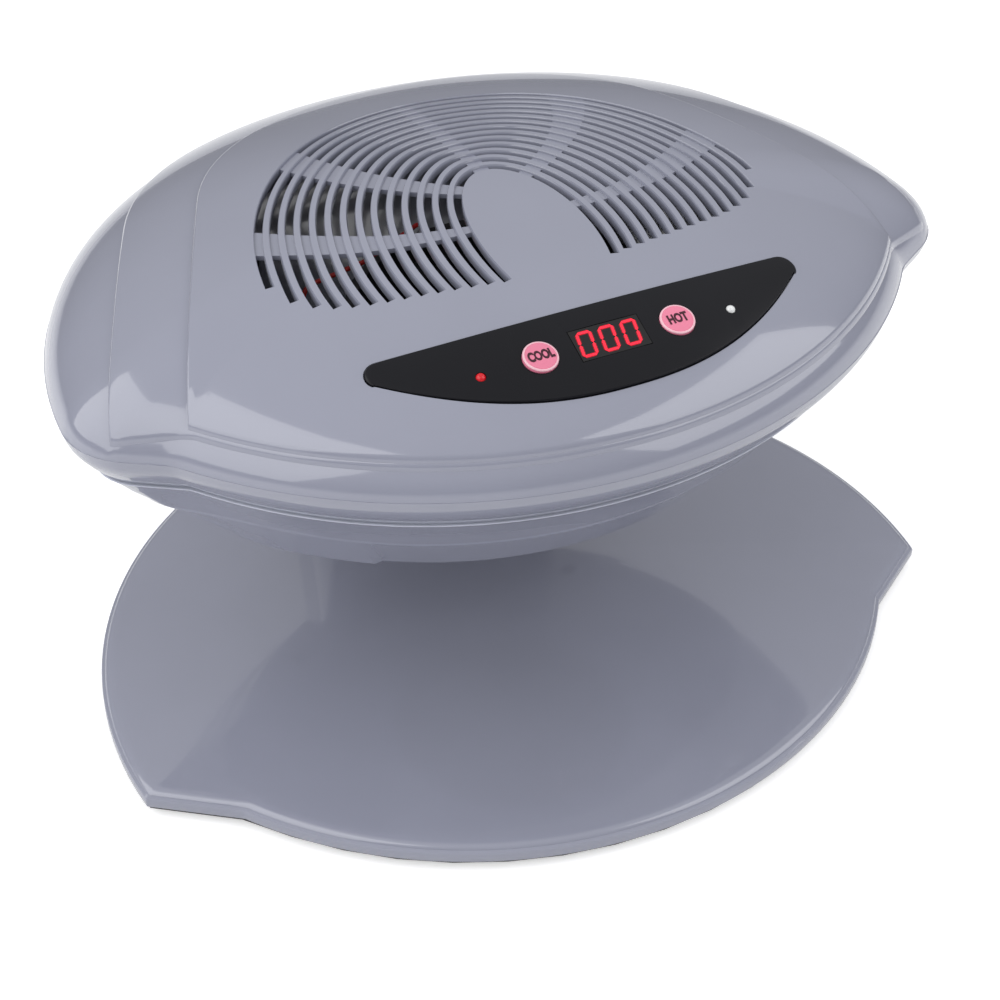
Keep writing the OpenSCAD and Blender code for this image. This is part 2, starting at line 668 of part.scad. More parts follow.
// ---- Air duct and heater ----
duct_r = fan_r + 0.5;
duct_t = 2;
duct_chamfer = 2.6;
module air_duct() color([0.2, 0.2, 0.21]) plan() translate([0, fan_c, belly_z + wall])
    difference() {
        union() {
            cylinder(r1 = duct_r + 0.15, r2 = duct_r + duct_t, h = duct_chamfer);
            translate([0, 0, duct_chamfer])
                cylinder(r = duct_r + duct_t, h = fan_z - belly_z - wall - duct_chamfer);
        }
        translate([0, 0, -1]) cylinder(r = duct_r, h = fan_z);
    }
heater_z = belly_z + wall + 4;
heater_h = 16;
mica_t = 1.2;
coil_wire = 1.5;
coil_radii = [20, 32, 44];
module heater_frame() color([0.78, 0.72, 0.58]) plan() translate([0, fan_c, heater_z])
    difference() {
        for (a = [0, 90]) rotate([0, 0, a])
            translate([-duct_r + 0.3, -mica_t / 2, 0])
                cube([2 * duct_r - 0.6, mica_t, heater_h]);
        for (a = [0:90:270], r = coil_radii) rotate([0, 0, a])
            translate([r, 2, heater_h / 2]) rotate([90, 0, 0])
                cylinder(r = coil_wire + 0.1, h = 4, $fn = 32);
    }
module heater_coil() color([0.55, 0.5, 0.48]) plan()
    translate([0, fan_c, heater_z + heater_h / 2]) {
        for (r = coil_radii) rotate_extrude($fn = 96) translate([r, 0]) circle(coil_wire, $fn = 24);
        rotate([0, 0, 45]) for (i = [0, 1]) translate([coil_radii[i], 0, 0]) rotate([0, 90, 0])
            cylinder(r = 0.8, h = coil_radii[i + 1] - coil_radii[i], $fn = 24);
    }
module thermostat() color([0.75, 0.75, 0.78]) plan()
    translate([26, fan_c, heater_z + heater_h]) {
        cylinder(r = 6, h = 2.6);
        translate([0, 0, 2.6]) cylinder(r = 4, h = 1);
        translate([-9, -1.5, 0]) cube([18, 3, 0.8]);
    }
module thermal_fuse() color([0.8, 0.8, 0.82]) plan()
    translate([-34, fan_c, heater_z + heater_h + 1.6]) rotate([0, 90, 0]) {
        cylinder(r = 1.6, h = 11, $fn = 32);
        translate([0, 0, -8]) cylinder(r = 0.5, h = 27, $fn = 24);
    }

// ---- Power board ----
board_z = 110;
power_x = -80.5;
power_y = 20;
power_w = 40;
power_l = 56;
module at_board_posts() {
    for (i = [-1, 1], j = [-1, 1])
        translate([power_x + i * (power_w / 2 - 4), power_y + j * (power_l / 2 - 4), 0])
            children();
}
module power_board() color([0.62, 0.5, 0.28]) plan() difference() {
    translate([power_x - power_w / 2, power_y - power_l / 2, board_z])
        cube([power_w, power_l, board_t]);
    at_board_posts() translate([0, 0, board_z - 1])
        cylinder(r = screw_hole_r, h = board_t + 2, $fn = 32);
}
module power_parts() color([0.2, 0.22, 0.25]) plan()
    translate([power_x, power_y, board_z + board_t]) {
        translate([-9, 4, 0]) cube([19, 16, 15]);
        translate([-14, -16, 0]) cube([12, 15, 14]);
        translate([7, -12, 0]) cylinder(r = 5, h = 14);
        translate([7, -22, 0]) cylinder(r = 3, h = 9);
        translate([-4, -24, 0]) cube([8, 5, 6]);
        translate([-17, 8, 0]) cube([5, 10, 8]);
    }

// ---- Wires: tubes through chosen points ----
wire_r = 0.8;
wire_sides = 8;
function unit(v) = v / norm(v);
// Ring of the tube round point p, square to direction d
function wire_ring(p, d, r) = let (u = unit(cross(d, abs(d[2]) > 0.9 ? [1, 0, 0] : [0, 0, 1])),
    v = cross(d, u)) [for (i = [0:wire_sides - 1]) let (a = 360 * i / wire_sides)
    p + r * (u * cos(a) + v * sin(a))];
module wire(route, r = wire_r) {
    n = len(route);
    steps = [for (i = [0:n - 2]) unit(route[i + 1] - route[i])];
    loft([for (i = [0:n - 1]) wire_ring(route[i],
        i == 0 ? steps[0] : i == n - 1 ? steps[n - 2] : unit(steps[i - 1] + steps[i]), r)]);
}
top_of_board = board_z + board_t;
module red_wires() color([0.75, 0.08, 0.07]) plan() {
    wire([[-62.5, 14, top_of_board], [-62.5, 14, 128], [-58, 6, 139.5], [-40, -8, 141],
        [-30, -30, 144], [-26, -46, 147]]);
    wire([[-62.5, 32, top_of_board], [-62.5, 32, 126], [-59, 40, 139.5], [-36, 44, 141],
        [-8, 62, 139], [-6, 66, 124], [-6, 66, belly_z + wall]]);
}
module green_wire() color([0.1, 0.5, 0.2]) plan()
    wire([[-62.5, 22, top_of_board], [-62.5, 22, 130], [-57, 22, 141], [-44, 10, 143],
        [-34, -20, 145], [-18, -44, 148]]);
module yellow_wires() color([0.85, 0.7, 0.1]) plan() {
    wire([[-62.5, 4, top_of_board], [-62.5, 4, 127], [-58, -6, 139.5], [-50, -24, 141.5],
        [-34, -43, 147]]);
    wire([[-62.5, 0, top_of_board], [-62.5, 0, 114.5], [-58.6, -2.5, 114], [-58, -9, 107],
        [-57.5, -18, 103], [-57.5, -18, 90]]);
}

// ---- Neck ----
neck_mid = neck_y + neck_d / 2;
neck_split = neck_y + 28;
neck_low = 17;
neck_gap = 0.3;
neck_boss_z = [neck_low + 14, belly_z - 14];
module at_neck_screws() {
    mirrored() translate([30, neck_y + 7.5, 0]) children();
}
module at_neck_joins() {
    for (z = neck_boss_z) mirrored() translate([neck_x - 9, neck_split, z])
        rotate([-90, 0, 0]) children();
}
module neck_tube() {
    translate([0, neck_mid, neck_low]) linear_extrude(belly_z - neck_low) difference() {
        rounded_rect(neck_x, neck_d, neck_corner);
        rounded_rect(neck_x - base_wall, neck_d - 2 * base_wall, neck_corner - base_wall);
    }
}
module neck_front() color([0.56, 0.58, 0.63]) plan() difference() {
    union() {
        intersection() {
            neck_tube();
            translate([-neck_x - 1, neck_y - 1, 0])
                cube([2 * neck_x + 2, neck_split - neck_y + 1, belly_z]);
        }
        at_neck_joins() translate([0, 0, -(neck_split - neck_y) + 1])
            cylinder(r = post_r, h = neck_split - neck_y - 1);
        at_neck_screws() for (z = [neck_low, belly_z - 12])
            translate([0, 0, z]) {
                cylinder(r = post_r, h = 12);
                translate([-post_r, -6, 0]) cube([2 * post_r, 6, 12]);
            }
    }
    at_neck_joins() translate([0, 0, -12]) cylinder(r = pilot_r, h = 13, $fn = 32);
    at_neck_screws() {
        translate([0, 0, neck_low - 1]) cylinder(r = pilot_r, h = 11, $fn = 32);
        translate([0, 0, belly_z - 10]) cylinder(r = pilot_r, h = 11, $fn = 32);
    }
}
gland_z = neck_low + 9;
gland_r = 4.5;
module neck_back() color([0.56, 0.58, 0.63]) plan() difference() {
    union() {
        intersection() {
            neck_tube();
            translate([-neck_x - 1, neck_split + neck_gap, 0])
                cube([2 * neck_x + 2, neck_d, belly_z]);
        }
        at_neck_joins() translate([0, 0, neck_gap])
            cylinder(r = post_r, h = neck_d - 28 - neck_gap - 1);
    }
    at_neck_joins() {
        cylinder(r = screw_hole_r, h = neck_d, $fn = 32);
        translate([0, 0, 7]) cylinder(r = screw_head_r + 0.3, h = neck_d, $fn = 32);
    }
    translate([0, neck_y + neck_d + 1, gland_z]) rotate([90, 0, 0])
        cylinder(r = gland_r + 0.05, h = base_wall + 2);
}
module neck_screws() color([0.7, 0.7, 0.72]) plan() {
    at_neck_joins() translate([0, 0, 7]) rotate([180, 0, 0]) screw(16);
    at_neck_screws() translate([0, 0, belly_z + wall]) rotate([180, 0, 0]) screw(11);
}
module cord_gland() color([0.1, 0.1, 0.1]) plan()
    translate([0, neck_y + neck_d + 2.2, gland_z]) rotate([90, 0, 0]) difference() {
        union() {
            cylinder(r = gland_r + 1.6, h = 2.2);
            cylinder(r = gland_r, h = 2.2 + base_wall + 1);
            translate([0, 0, 2.2 + base_wall]) cylinder(r = gland_r + 1.2, h = 1.6);
        }
        translate([0, 0, -1]) cylinder(r = 3.2, h = 12);
    }
module mains_leads() color([0.12, 0.12, 0.13]) plan() for (i = [-1, 1])
    wire([[i * 1.9, neck_y + neck_d - 3, gland_z], [i * 1.9, neck_y + 24, gland_z],
        [i * 3, neck_y + 20, gland_z + 10], [i * 3, neck_y + 20, belly_z + 6],
        [-20 + i * 3, neck_y + 6 + i, board_z - 4], [-70 + i * 3, 56, board_z + 6],
        [-76 + i * 3, 43, top_of_board + 6], [-76 + i * 3, 43, top_of_board]], 1.1);

// ---- Base ----
band_low = foot_h + 2.3;
band_top = band_low + band_h;
rest_z = band_top + 1.8;
pad_grow = 1.6;
function rest_ring(s, low) = [for (a = angles) let (r = base_edge(a, 5))
    at(a, s * r, rest_z + rest_rise * (1 - s * s) - low)];
base_bosses = [[105, -34], [52, -80], [118, 42]];
module at_base_bosses() {
    for (p = base_bosses) mirrored() translate([p[0], p[1], 0]) children();
    mirrored() translate([30, neck_y + 7.5, 0]) children();
}
module base_top() color([0.57, 0.59, 0.64]) plan() difference() {
    union() {
        loft(concat([rest_ring(0.1, base_wall), rest_ring(0.5, base_wall),
            rest_ring(0.8, base_wall)],
            [base_ring(5 + base_wall, rest_z - base_wall),
            base_ring(base_wall, band_top - base_wall + 0.6), base_ring(base_wall, band_low),
            base_ring(0, band_low), base_ring(0, band_top - 0.8), base_ring(0.9, band_top),
            base_ring(2.2, rest_z - 0.6), base_ring(5, rest_z)],
            [for (s = [0.9, 0.75, 0.6, 0.45, 0.3, 0.1]) rest_ring(s, 0)]));
        translate([0, neck_mid, rest_z - 1]) linear_extrude(neck_low - rest_z + 1)
            rounded_rect(neck_x + pad_grow, neck_d + 2 * pad_grow, neck_corner);
        at_base_bosses() translate([0, 0, band_low]) cylinder(r = post_r, h = rest_z - band_low);
    }
    translate([0, neck_mid, 0]) linear_extrude(neck_low + 1)
        rounded_rect(neck_x - 32, neck_d - 22, 6);
    at_base_bosses() translate([0, 0, band_low - 1])
        cylinder(r = pilot_r, h = rest_z - band_low - 1.5, $fn = 32);
    mirrored() translate([30, neck_y + 7.5, band_low - 1])
        cylinder(r = screw_hole_r, h = neck_low, $fn = 32);
}
feet = [[92, -46], [82, 84]];
module at_feet() {
    for (p = feet) mirrored() translate([p[0], p[1], 0]) children();
}
module base_bottom() color([0.05, 0.05, 0.055]) plan() difference() {
    loft([base_ring(3, foot_h), base_ring(1, foot_h + 1), base_ring(1, band_low)]);
    at_base_bosses() {
        translate([0, 0, foot_h - 1]) cylinder(r = screw_hole_r, h = 5, $fn = 32);
        translate([0, 0, foot_h - 1]) cylinder(r = screw_head_r + 0.3, h = 2.2, $fn = 32);
    }
    at_feet() translate([0, 0, foot_h - 1]) cylinder(r = 2.05, h = 5, $fn = 32);
}
module base_screws() color([0.7, 0.7, 0.72]) plan() {
    for (p = base_bosses) mirrored() translate([p[0], p[1], foot_h + 1.2]) base_screw(4.3);
    mirrored() translate([30, neck_y + 7.5, foot_h + 1.2]) base_screw(20);
}
// Flat-headed screw that stays inside the bottom plate
module base_screw(length) {
    cylinder(r = screw_r, h = length, $fn = 32);
    translate([0, 0, -1]) cylinder(r = screw_head_r, h = 1, $fn = 32);
}
module rubber_feet() color([0.08, 0.08, 0.08]) plan() at_feet() {
    cylinder(r = foot_r, h = foot_h);
    cylinder(r = 2, h = band_low, $fn = 32);
}

upper_shell();
lower_shell();
outlet_grille();
control_panel();
cool_button();
hot_button();
cool_plunger();
hot_plunger();
tact_switches();
display_module();
display_digits();
cool_lamp();
hot_lamp();
control_board();
board_screws();
fan_frame();
fan_screws();
shaft_bearing();
stator_coil();
fan_impeller();
rotor_magnet();
motor_shaft();
air_duct();
heater_frame();
heater_coil();
thermostat();
thermal_fuse();
power_board();
power_parts();
red_wires();
green_wire();
yellow_wires();
mains_leads();
neck_front();
neck_back();
neck_screws();
cord_gland();
base_top();
base_bottom();
base_screws();
head_screws();
rubber_feet();
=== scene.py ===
"""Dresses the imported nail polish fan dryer: its smooth shells, panel, buttons, fan and finishes.

Every shape is worked out in millimetres from the plan of the head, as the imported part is, and is
turned into metres where a mesh is made. Front is -Y, and the table is at z = 0.
"""

import logging
import math
from collections.abc import Sequence
from dataclasses import dataclass, field
from enum import Enum

import bmesh
import bpy
import numpy as np
from mathutils import Matrix, Vector

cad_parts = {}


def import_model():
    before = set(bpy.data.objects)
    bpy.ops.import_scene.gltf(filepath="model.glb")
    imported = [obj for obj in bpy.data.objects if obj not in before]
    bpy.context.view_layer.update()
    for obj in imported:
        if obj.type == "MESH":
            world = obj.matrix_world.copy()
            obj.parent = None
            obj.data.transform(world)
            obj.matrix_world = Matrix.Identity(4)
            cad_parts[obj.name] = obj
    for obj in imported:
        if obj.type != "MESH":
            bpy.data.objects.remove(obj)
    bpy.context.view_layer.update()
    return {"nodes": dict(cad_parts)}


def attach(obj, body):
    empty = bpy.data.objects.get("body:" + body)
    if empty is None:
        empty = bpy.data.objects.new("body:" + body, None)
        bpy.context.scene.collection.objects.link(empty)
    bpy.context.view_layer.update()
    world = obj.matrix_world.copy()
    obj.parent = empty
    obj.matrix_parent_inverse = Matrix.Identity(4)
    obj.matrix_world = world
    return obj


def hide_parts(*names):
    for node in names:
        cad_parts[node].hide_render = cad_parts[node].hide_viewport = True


LOG = logging.getLogger("dryer")
MM = 0.001
Rgb = tuple[float, float, float]


class Body(Enum):
    """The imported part's moving bodies."""

    HOUSING = "housing"
    FAN = "fan"
    COOL_KEY = "cool_key"
    HOT_KEY = "hot_key"


# ---------------------------------------------------------------- node graphs


class Link:
    """A node's output that can be used in plain arithmetic."""

    def __init__(self, graph: "Graph", socket: bpy.types.NodeSocket) -> None:
        """Keeps the output and the graph that it belongs to."""
        self.graph = graph
        self.socket = socket

    def _math(self, operation: str, *values: "Link | float") -> "Link":
        """Adds one Math node on the given values."""
        return self.graph.add("ShaderNodeMath", dict(operation=operation), dict(enumerate(values)))

    def __add__(self, other: "Link | float") -> "Link":
        """Sum."""
        return self._math("ADD", self, other)

    __radd__ = __add__

    def __mul__(self, other: "Link | float") -> "Link":
        """Product."""
        return self._math("MULTIPLY", self, other)

    __rmul__ = __mul__

    def __sub__(self, other: "Link | float") -> "Link":
        """Difference."""
        return self._math("SUBTRACT", self, other)

    def __truediv__(self, other: "Link | float") -> "Link":
        """Quotient."""
        return self._math("DIVIDE", self, other)

    def sin(self) -> "Link":
        """Sine."""
        return self._math("SINE", self)

    def cos(self) -> "Link":
        """Cosine."""
        return self._math("COSINE", self)

    def root(self) -> "Link":
        """Square root of the value, or of 0 where it is negative."""
        return self._math("SQRT", self._math("MAXIMUM", self, 0.0))

    def between(self, low: float, high: float) -> "Link":
        """The value's place between low and high, held to 0 to 1 with soft ends."""
        return self.graph.add(
            "ShaderNodeMapRange",
            dict(interpolation_type="SMOOTHSTEP"),
            {"Value": self, "From Min": low, "From Max": high},
        )


class Graph:
    """A node tree under construction."""

    def __init__(self, tree: bpy.types.NodeTree) -> None:
        """Keeps the tree that nodes are added to."""
        self.tree = tree

    def node(self, kind: str, settings: dict | None = None,
             inputs: dict | None = None) -> bpy.types.Node:
        """Adds a node.

        Args:
            kind: the node's type.
            settings: its properties.
            inputs: values or links of its sockets, by name or number.

        Returns:
            The new node.
        """
        made = self.tree.nodes.new(kind)
        for key, value in (settings or {}).items():
            setattr(made, key, value)
        for key, value in (inputs or {}).items():
            if isinstance(value, Link):
                self.tree.links.new(value.socket, made.inputs[key])
            else:
                made.inputs[key].default_value = value
        return made

    def add(self, kind: str, settings: dict | None = None, inputs: dict | None = None,
            out: str | int = 0) -> Link:
        """Adds a node and returns one of its outputs as a link."""
        return Link(self, self.node(kind, settings, inputs).outputs[out])

    def mix(self, share: Link | float, low: Rgb | Link, high: Rgb | Link) -> Link:
        """Blends two colours by a share from 0 to 1."""
        colours = [(*c, 1.0) if isinstance(c, tuple) else c for c in (low, high)]
        return self.add("ShaderNodeMix", dict(data_type="RGBA"),
                        {0: share, 6: colours[0], 7: colours[1]}, 2)


# ---------------------------------------------------------------- finishes


@dataclass(frozen=True)
class Finish:
    """A moulded plastic, metal or rubber finish.

    Args:
        name: the finish's name.
        colour: its linear colour.
        slot: the record's material slot; not used.
        rough: its roughness.
        metal: 1 for bare metal.
        coat: clear gloss on top.
        grain: size of its surface grain, in grains per metre.
        relief: height of the grain, in metres.
        tone: how far its colour wanders from place to place.
        glow: strength of its own light.
        gloss: how strongly it mirrors, where 0.5 is plain plastic.
    """

    name: str
    colour: Rgb
    slot: str
    rough: float = 0.4
    metal: float = 0.0
    coat: float = 0.0
    grain: float = 2500.0
    relief: float = 0.00002
    tone: float = 0.06
    glow: float = 0.0
    gloss: float = 0.5

    def pattern(self, graph: Graph, place: Link) -> tuple[Link, Link]:
        """The finish's own colour share and relief, both 0 to 1.

        Args:
            graph: the material's nodes.
            place: Object coordinates.

        Returns:
            The share of the lighter tone, and the height of the grain.
        """
        drift = graph.add("ShaderNodeTexNoise", None, {"Vector": place, "Scale": 18.0, "Detail": 3.0})
        fine = graph.add("ShaderNodeTexNoise", None,
                         {"Vector": place, "Scale": self.grain, "Detail": 2.0})
        return drift.between(0.3, 0.7), fine

    def material(self) -> bpy.types.Material:
        """Builds the finish's nodes, or returns them where they are already built."""
        ready = bpy.data.materials.get(self.name)
        if ready:
            return ready
        made = bpy.data.materials.new(self.name)
        made.use_nodes = True
        graph = Graph(made.node_tree)
        made.node_tree.nodes.clear()
        place = graph.add("ShaderNodeTexCoord", None, None, "Object")
        share, height = self.pattern(graph, place)
        low = tuple(c * (1.0 - self.tone) for c in self.colour)
        high = tuple(min(1.0, c * (1.0 + self.tone)) for c in self.colour)
        tint = graph.mix(share, low, high)
        normal = graph.add("ShaderNodeBump", None,
                           {"Height": height, "Distance": self.relief, "Strength": 1.0})
        shader = graph.add("ShaderNodeBsdfPrincipled", None, {
            "Base Color": tint,
            "Roughness": self.rough * (0.9 + 0.2 * share),
            "Metallic": self.metal,
            "Coat Weight": self.coat,
            "Coat Roughness": 0.04,
            "Specular IOR Level": self.gloss,
            "Normal": normal,
        })
        if self.glow:
            shader.socket.node.inputs["Emission Strength"].default_value = self.glow
            graph.tree.links.new(tint.socket, shader.socket.node.inputs["Emission Color"])
        graph.node("ShaderNodeOutputMaterial", None, {"Surface": shader})
        return made


@dataclass(frozen=True)
class Brushed(Finish):
    """Bare metal with fine turning lines."""

    def pattern(self, graph: Graph, place: Link) -> tuple[Link, Link]:
        """Streaks drawn out along one direction, in place of round grains."""
        along = graph.add("ShaderNodeMapping", None, {"Vector": place, "Scale": (1.0, 1.0, 14.0)})
        streak = graph.add("ShaderNodeTexNoise", None,
                           {"Vector": along, "Scale": self.grain / 6, "Detail": 4.0})
        return streak.between(0.35, 0.65), streak


@dataclass(frozen=True)
class Laminate(Finish):
    """Circuit board: woven base with darker copper tracks under its lacquer."""

    def pattern(self, graph: Graph, place: Link) -> tuple[Link, Link]:
        """Tracks from the edges of square cells."""
        cells = graph.add("ShaderNodeTexVoronoi", dict(distance="CHEBYCHEV", feature="F1"),
                          {"Vector": place, "Scale": 260.0})
        return cells.between(0.25, 0.45), cells


SHELL = Finish("shell_gloss", (0.268, 0.277, 0.34), "shell", rough=0.13, coat=1.0, grain=900.0,
               relief=0.000004, tone=0.02)
GRILLE = Finish("outlet_satin", (0.08, 0.08, 0.09), "dark_grille", rough=0.42)
PANEL = Finish("panel_black", (0.006, 0.006, 0.008), "panel", rough=0.3, gloss=0.22, grain=1500.0,
               relief=0.000003, tone=0.1)
BUTTON = Finish("button_pink", (0.79, 0.22, 0.33), "button", rough=0.35, tone=0.05)
BUTTON_RING = Finish("button_rim", (0.85, 0.5, 0.56), "button", rough=0.3, tone=0.03)
LETTERS = Finish("letter_ink", (0.045, 0.002, 0.01), "button", rough=0.5, tone=0.1)
BLACK = Finish("moulded_black", (0.02, 0.02, 0.022), "black_plastic", rough=0.45)
WINDOW = Finish("display_window", (0.001, 0.0005, 0.0005), "display", rough=0.5, tone=0.1)
LIT = Finish("segment_light", (0.9, 0.012, 0.035), "display_light", rough=0.3, glow=0.8, tone=0.1)
HALO = Finish("segment_halo", (0.2, 0.0, 0.006), "display_light", rough=0.3, glow=0.6, tone=0.1)
RED_LENS = Finish("lamp_red", (0.5, 0.006, 0.012), "red_lens", rough=0.25, glow=0.35)
WHITE_LENS = Finish("lamp_clear", (0.75, 0.76, 0.75), "clear_lens", rough=0.1)
GREEN_BOARD = Laminate("board_green", (0.02, 0.16, 0.07), "circuit_board", rough=0.3, tone=0.35)
TAN_BOARD = Laminate("board_tan", (0.42, 0.3, 0.13), "power_board", rough=0.45, tone=0.2)
STEEL = Brushed("zinc_steel", (0.58, 0.58, 0.6), "screw_steel", rough=0.32, metal=1.0)
BRASS = Brushed("bearing_metal", (0.6, 0.42, 0.18), "bearing_brass", rough=0.4, metal=1.0)
COPPER = Brushed("copper_wire", (0.58, 0.25, 0.1), "copper_winding", rough=0.3, metal=1.0, tone=0.2)
FERRITE = Finish("ferrite", (0.05, 0.05, 0.055), "magnet", rough=0.6)
DUCT = Finish("duct_plastic", (0.045, 0.045, 0.05), "duct", rough=0.5)
MICA = Finish("mica_sheet", (0.56, 0.48, 0.32), "mica", rough=0.35, grain=600.0, tone=0.18)
HEATER = Brushed("heater_metal", (0.3, 0.27, 0.25), "heater_wire", rough=0.45, metal=1.0, tone=0.2)
ALUMINIUM = Brushed("plain_aluminium", (0.74, 0.74, 0.75), "bare_aluminium", rough=0.35, metal=1.0)
PARTS = Finish("board_parts", (0.05, 0.055, 0.06), "board_parts", rough=0.4, tone=0.3)
RED_WIRE = Finish("wire_red", (0.62, 0.03, 0.025), "red_wire", rough=0.4)
GREEN_WIRE = Finish("wire_green", (0.02, 0.3, 0.1), "green_wire", rough=0.4)
YELLOW_WIRE = Finish("wire_yellow", (0.62, 0.45, 0.05), "yellow_wire", rough=0.4)
# Seam bead: the shell's own plastic, painted much paler than the shell as a painted highlight line along
# the seam.
SEAM_PAINTED_HIGHLIGHT = Finish("seam_bead_painted_highlight", (0.5, 0.52, 0.6), "shell", rough=0.3)
RUBBER = Finish("black_rubber", (0.022, 0.022, 0.022), "rubber", rough=0.7, relief=0.00004)

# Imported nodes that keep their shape, and the finish that each gets.
KEPT_NODES = {
    "neck_front": SHELL, "neck_back": SHELL, "display_module": WINDOW,
    "cool_plunger": BLACK, "hot_plunger": BLACK, "tact_switches": BLACK, "cool_lamp": RED_LENS,
    "hot_lamp": WHITE_LENS, "control_board": GREEN_BOARD, "board_screws": STEEL,
    "fan_frame": BLACK, "fan_screws": STEEL, "shaft_bearing": BRASS, "stator_coil": COPPER,
    "rotor_magnet": FERRITE, "motor_shaft": STEEL, "air_duct": DUCT, "heater_frame": MICA,
    "thermostat": ALUMINIUM, "thermal_fuse": ALUMINIUM, "power_board": TAN_BOARD,
    "power_parts": PARTS, "neck_screws": STEEL, "cord_gland": RUBBER, "base_bottom": BLACK,
    "base_screws": STEEL, "head_screws": STEEL, "rubber_feet": RUBBER,
}


# ---------------------------------------------------------------- meshes


def new_object(name: str, mesh: bpy.types.Mesh) -> bpy.types.Object:
    """Puts a mesh in the scene as an object at the origin."""
    made = bpy.data.objects.new(name, mesh)
    bpy.context.scene.collection.objects.link(made)
    return made


def mesh_from(name: str, points: np.ndarray, faces: Sequence[Sequence[int]]) -> bpy.types.Mesh:
    """Makes a mesh from points in millimetres.

    Args:
        name: the mesh's name.
        points: N by 3 points.
        faces: the corners of each face.

    Returns:
        The mesh, in metres.
    """
    made = bpy.data.meshes.new(name)
    made.from_pydata((np.asarray(points, float) * MM).tolist(), [], [list(f) for f in faces])
    made.update()
    return made


def smooth(mesh: bpy.types.Mesh, angle: float = 30.0) -> None:
    """Shades a mesh smooth, with sharp edges where it turns by more than the angle."""
    mesh.shade_smooth()
    mesh.set_sharp_from_angle(angle=math.radians(angle))


def lofted(name: str, rings: Sequence[np.ndarray], joined: bool = False,
           round_end: bool = False) -> bpy.types.Mesh:
    """Joins closed rings of equal length into a skin.

    Args:
        name: the mesh's name.
        rings: the rings, each N by 3, so that a ring runs anticlockwise seen from the next one.
        joined: whether the last ring joins the first, which makes a closed tube without caps.
        round_end: whether the caps are fans about their middle.

    Returns:
        The mesh, in metres.
    """
    count = len(rings[0])
    points = np.concatenate(rings)
    faces: list[list[int]] = []
    pairs = [(i, i + 1) for i in range(len(rings) - 1)]
    if joined:
        pairs.append((len(rings) - 1, 0))
    for low, high in pairs:
        for j in range(count):
            k = (j + 1) % count
            faces.append([low * count + j, low * count + k, high * count + k, high * count + j])
    if not joined:
        first, last = list(range(count))[::-1], [(len(rings) - 1) * count + j for j in range(count)]
        for cap in (first, last):
            if round_end:
                middle = len(points)
                points = np.vstack([points, points[cap].mean(axis=0)])
                faces += [[cap[j], cap[(j + 1) % count], middle] for j in range(count)]
            else:
                faces.append(cap)
    return mesh_from(name, points, faces)


def evaluated(source: bpy.types.Object) -> bpy.types.Mesh:
    """The mesh that an object's modifiers make."""
    graph = bpy.context.evaluated_depsgraph_get()
    return bpy.data.meshes.new_from_object(source.evaluated_get(graph), depsgraph=graph)


def carved(mesh: bpy.types.Mesh, cutter: bpy.types.Mesh) -> bpy.types.Mesh:
    """Cuts a closed cutter away from a mesh and returns the new mesh."""
    part, tool = new_object("carving", mesh), new_object("cutter", cutter)
    work = part.modifiers.new("cut", "BOOLEAN")
    work.operation = "DIFFERENCE"
    work.solver = "MANIFOLD"
    work.object = tool
    made = evaluated(part)
    for spent in (part, tool):
        bpy.data.objects.remove(spent)
    return made


def merged(meshes: Sequence[bpy.types.Mesh], name: str) -> bpy.types.Mesh:
    """Puts several meshes into one, each with the faces it has."""
    made = bmesh.new()
    for mesh in meshes:
        made.from_mesh(mesh)
    result = bpy.data.meshes.new(name)
    made.to_mesh(result)
    made.free()
    return result


def prism(name: str, outline: np.ndarray, low: float, high: float) -> bpy.types.Mesh:
    """Upright prism on an anticlockwise outline, in millimetres."""
    rings = [np.c_[outline, np.full(len(outline), z)] for z in (low, high)]
    return lofted(name, rings)


def turned(name: str, profile: Sequence[tuple[float, float]], sides: int = 72) -> bpy.types.Mesh:
    """Turns a profile of radius and height round Z, from its low end up, as a closed shape."""
    a = np.linspace(0.0, 2 * math.pi, sides, endpoint=False)
    rings = [np.c_[r * np.cos(a), r * np.sin(a), np.full(sides, z)] for r, z in profile]
    return lofted(name, rings, round_end=True)


def circle(radius: float, sides: int = 72) -> np.ndarray:
    """Points of a circle about the origin."""
    a = np.linspace(0.0, 2 * math.pi, sides, endpoint=False)
    return np.c_[radius * np.cos(a), radius * np.sin(a)]


def rounded(points: np.ndarray, times: int = 2, share: float = 0.18) -> np.ndarray:
    """Cuts the inner corners of an open line so that it turns softly, and keeps its ends."""
    for _ in range(times):
        ahead, behind = points[1:], points[:-1]
        cut = np.stack([behind + share * (ahead - behind), ahead - share * (ahead - behind)], 1)
        points = np.vstack([points[:1], cut.reshape(-1, points.shape[1])[1:-1], points[-1:]])
    return points


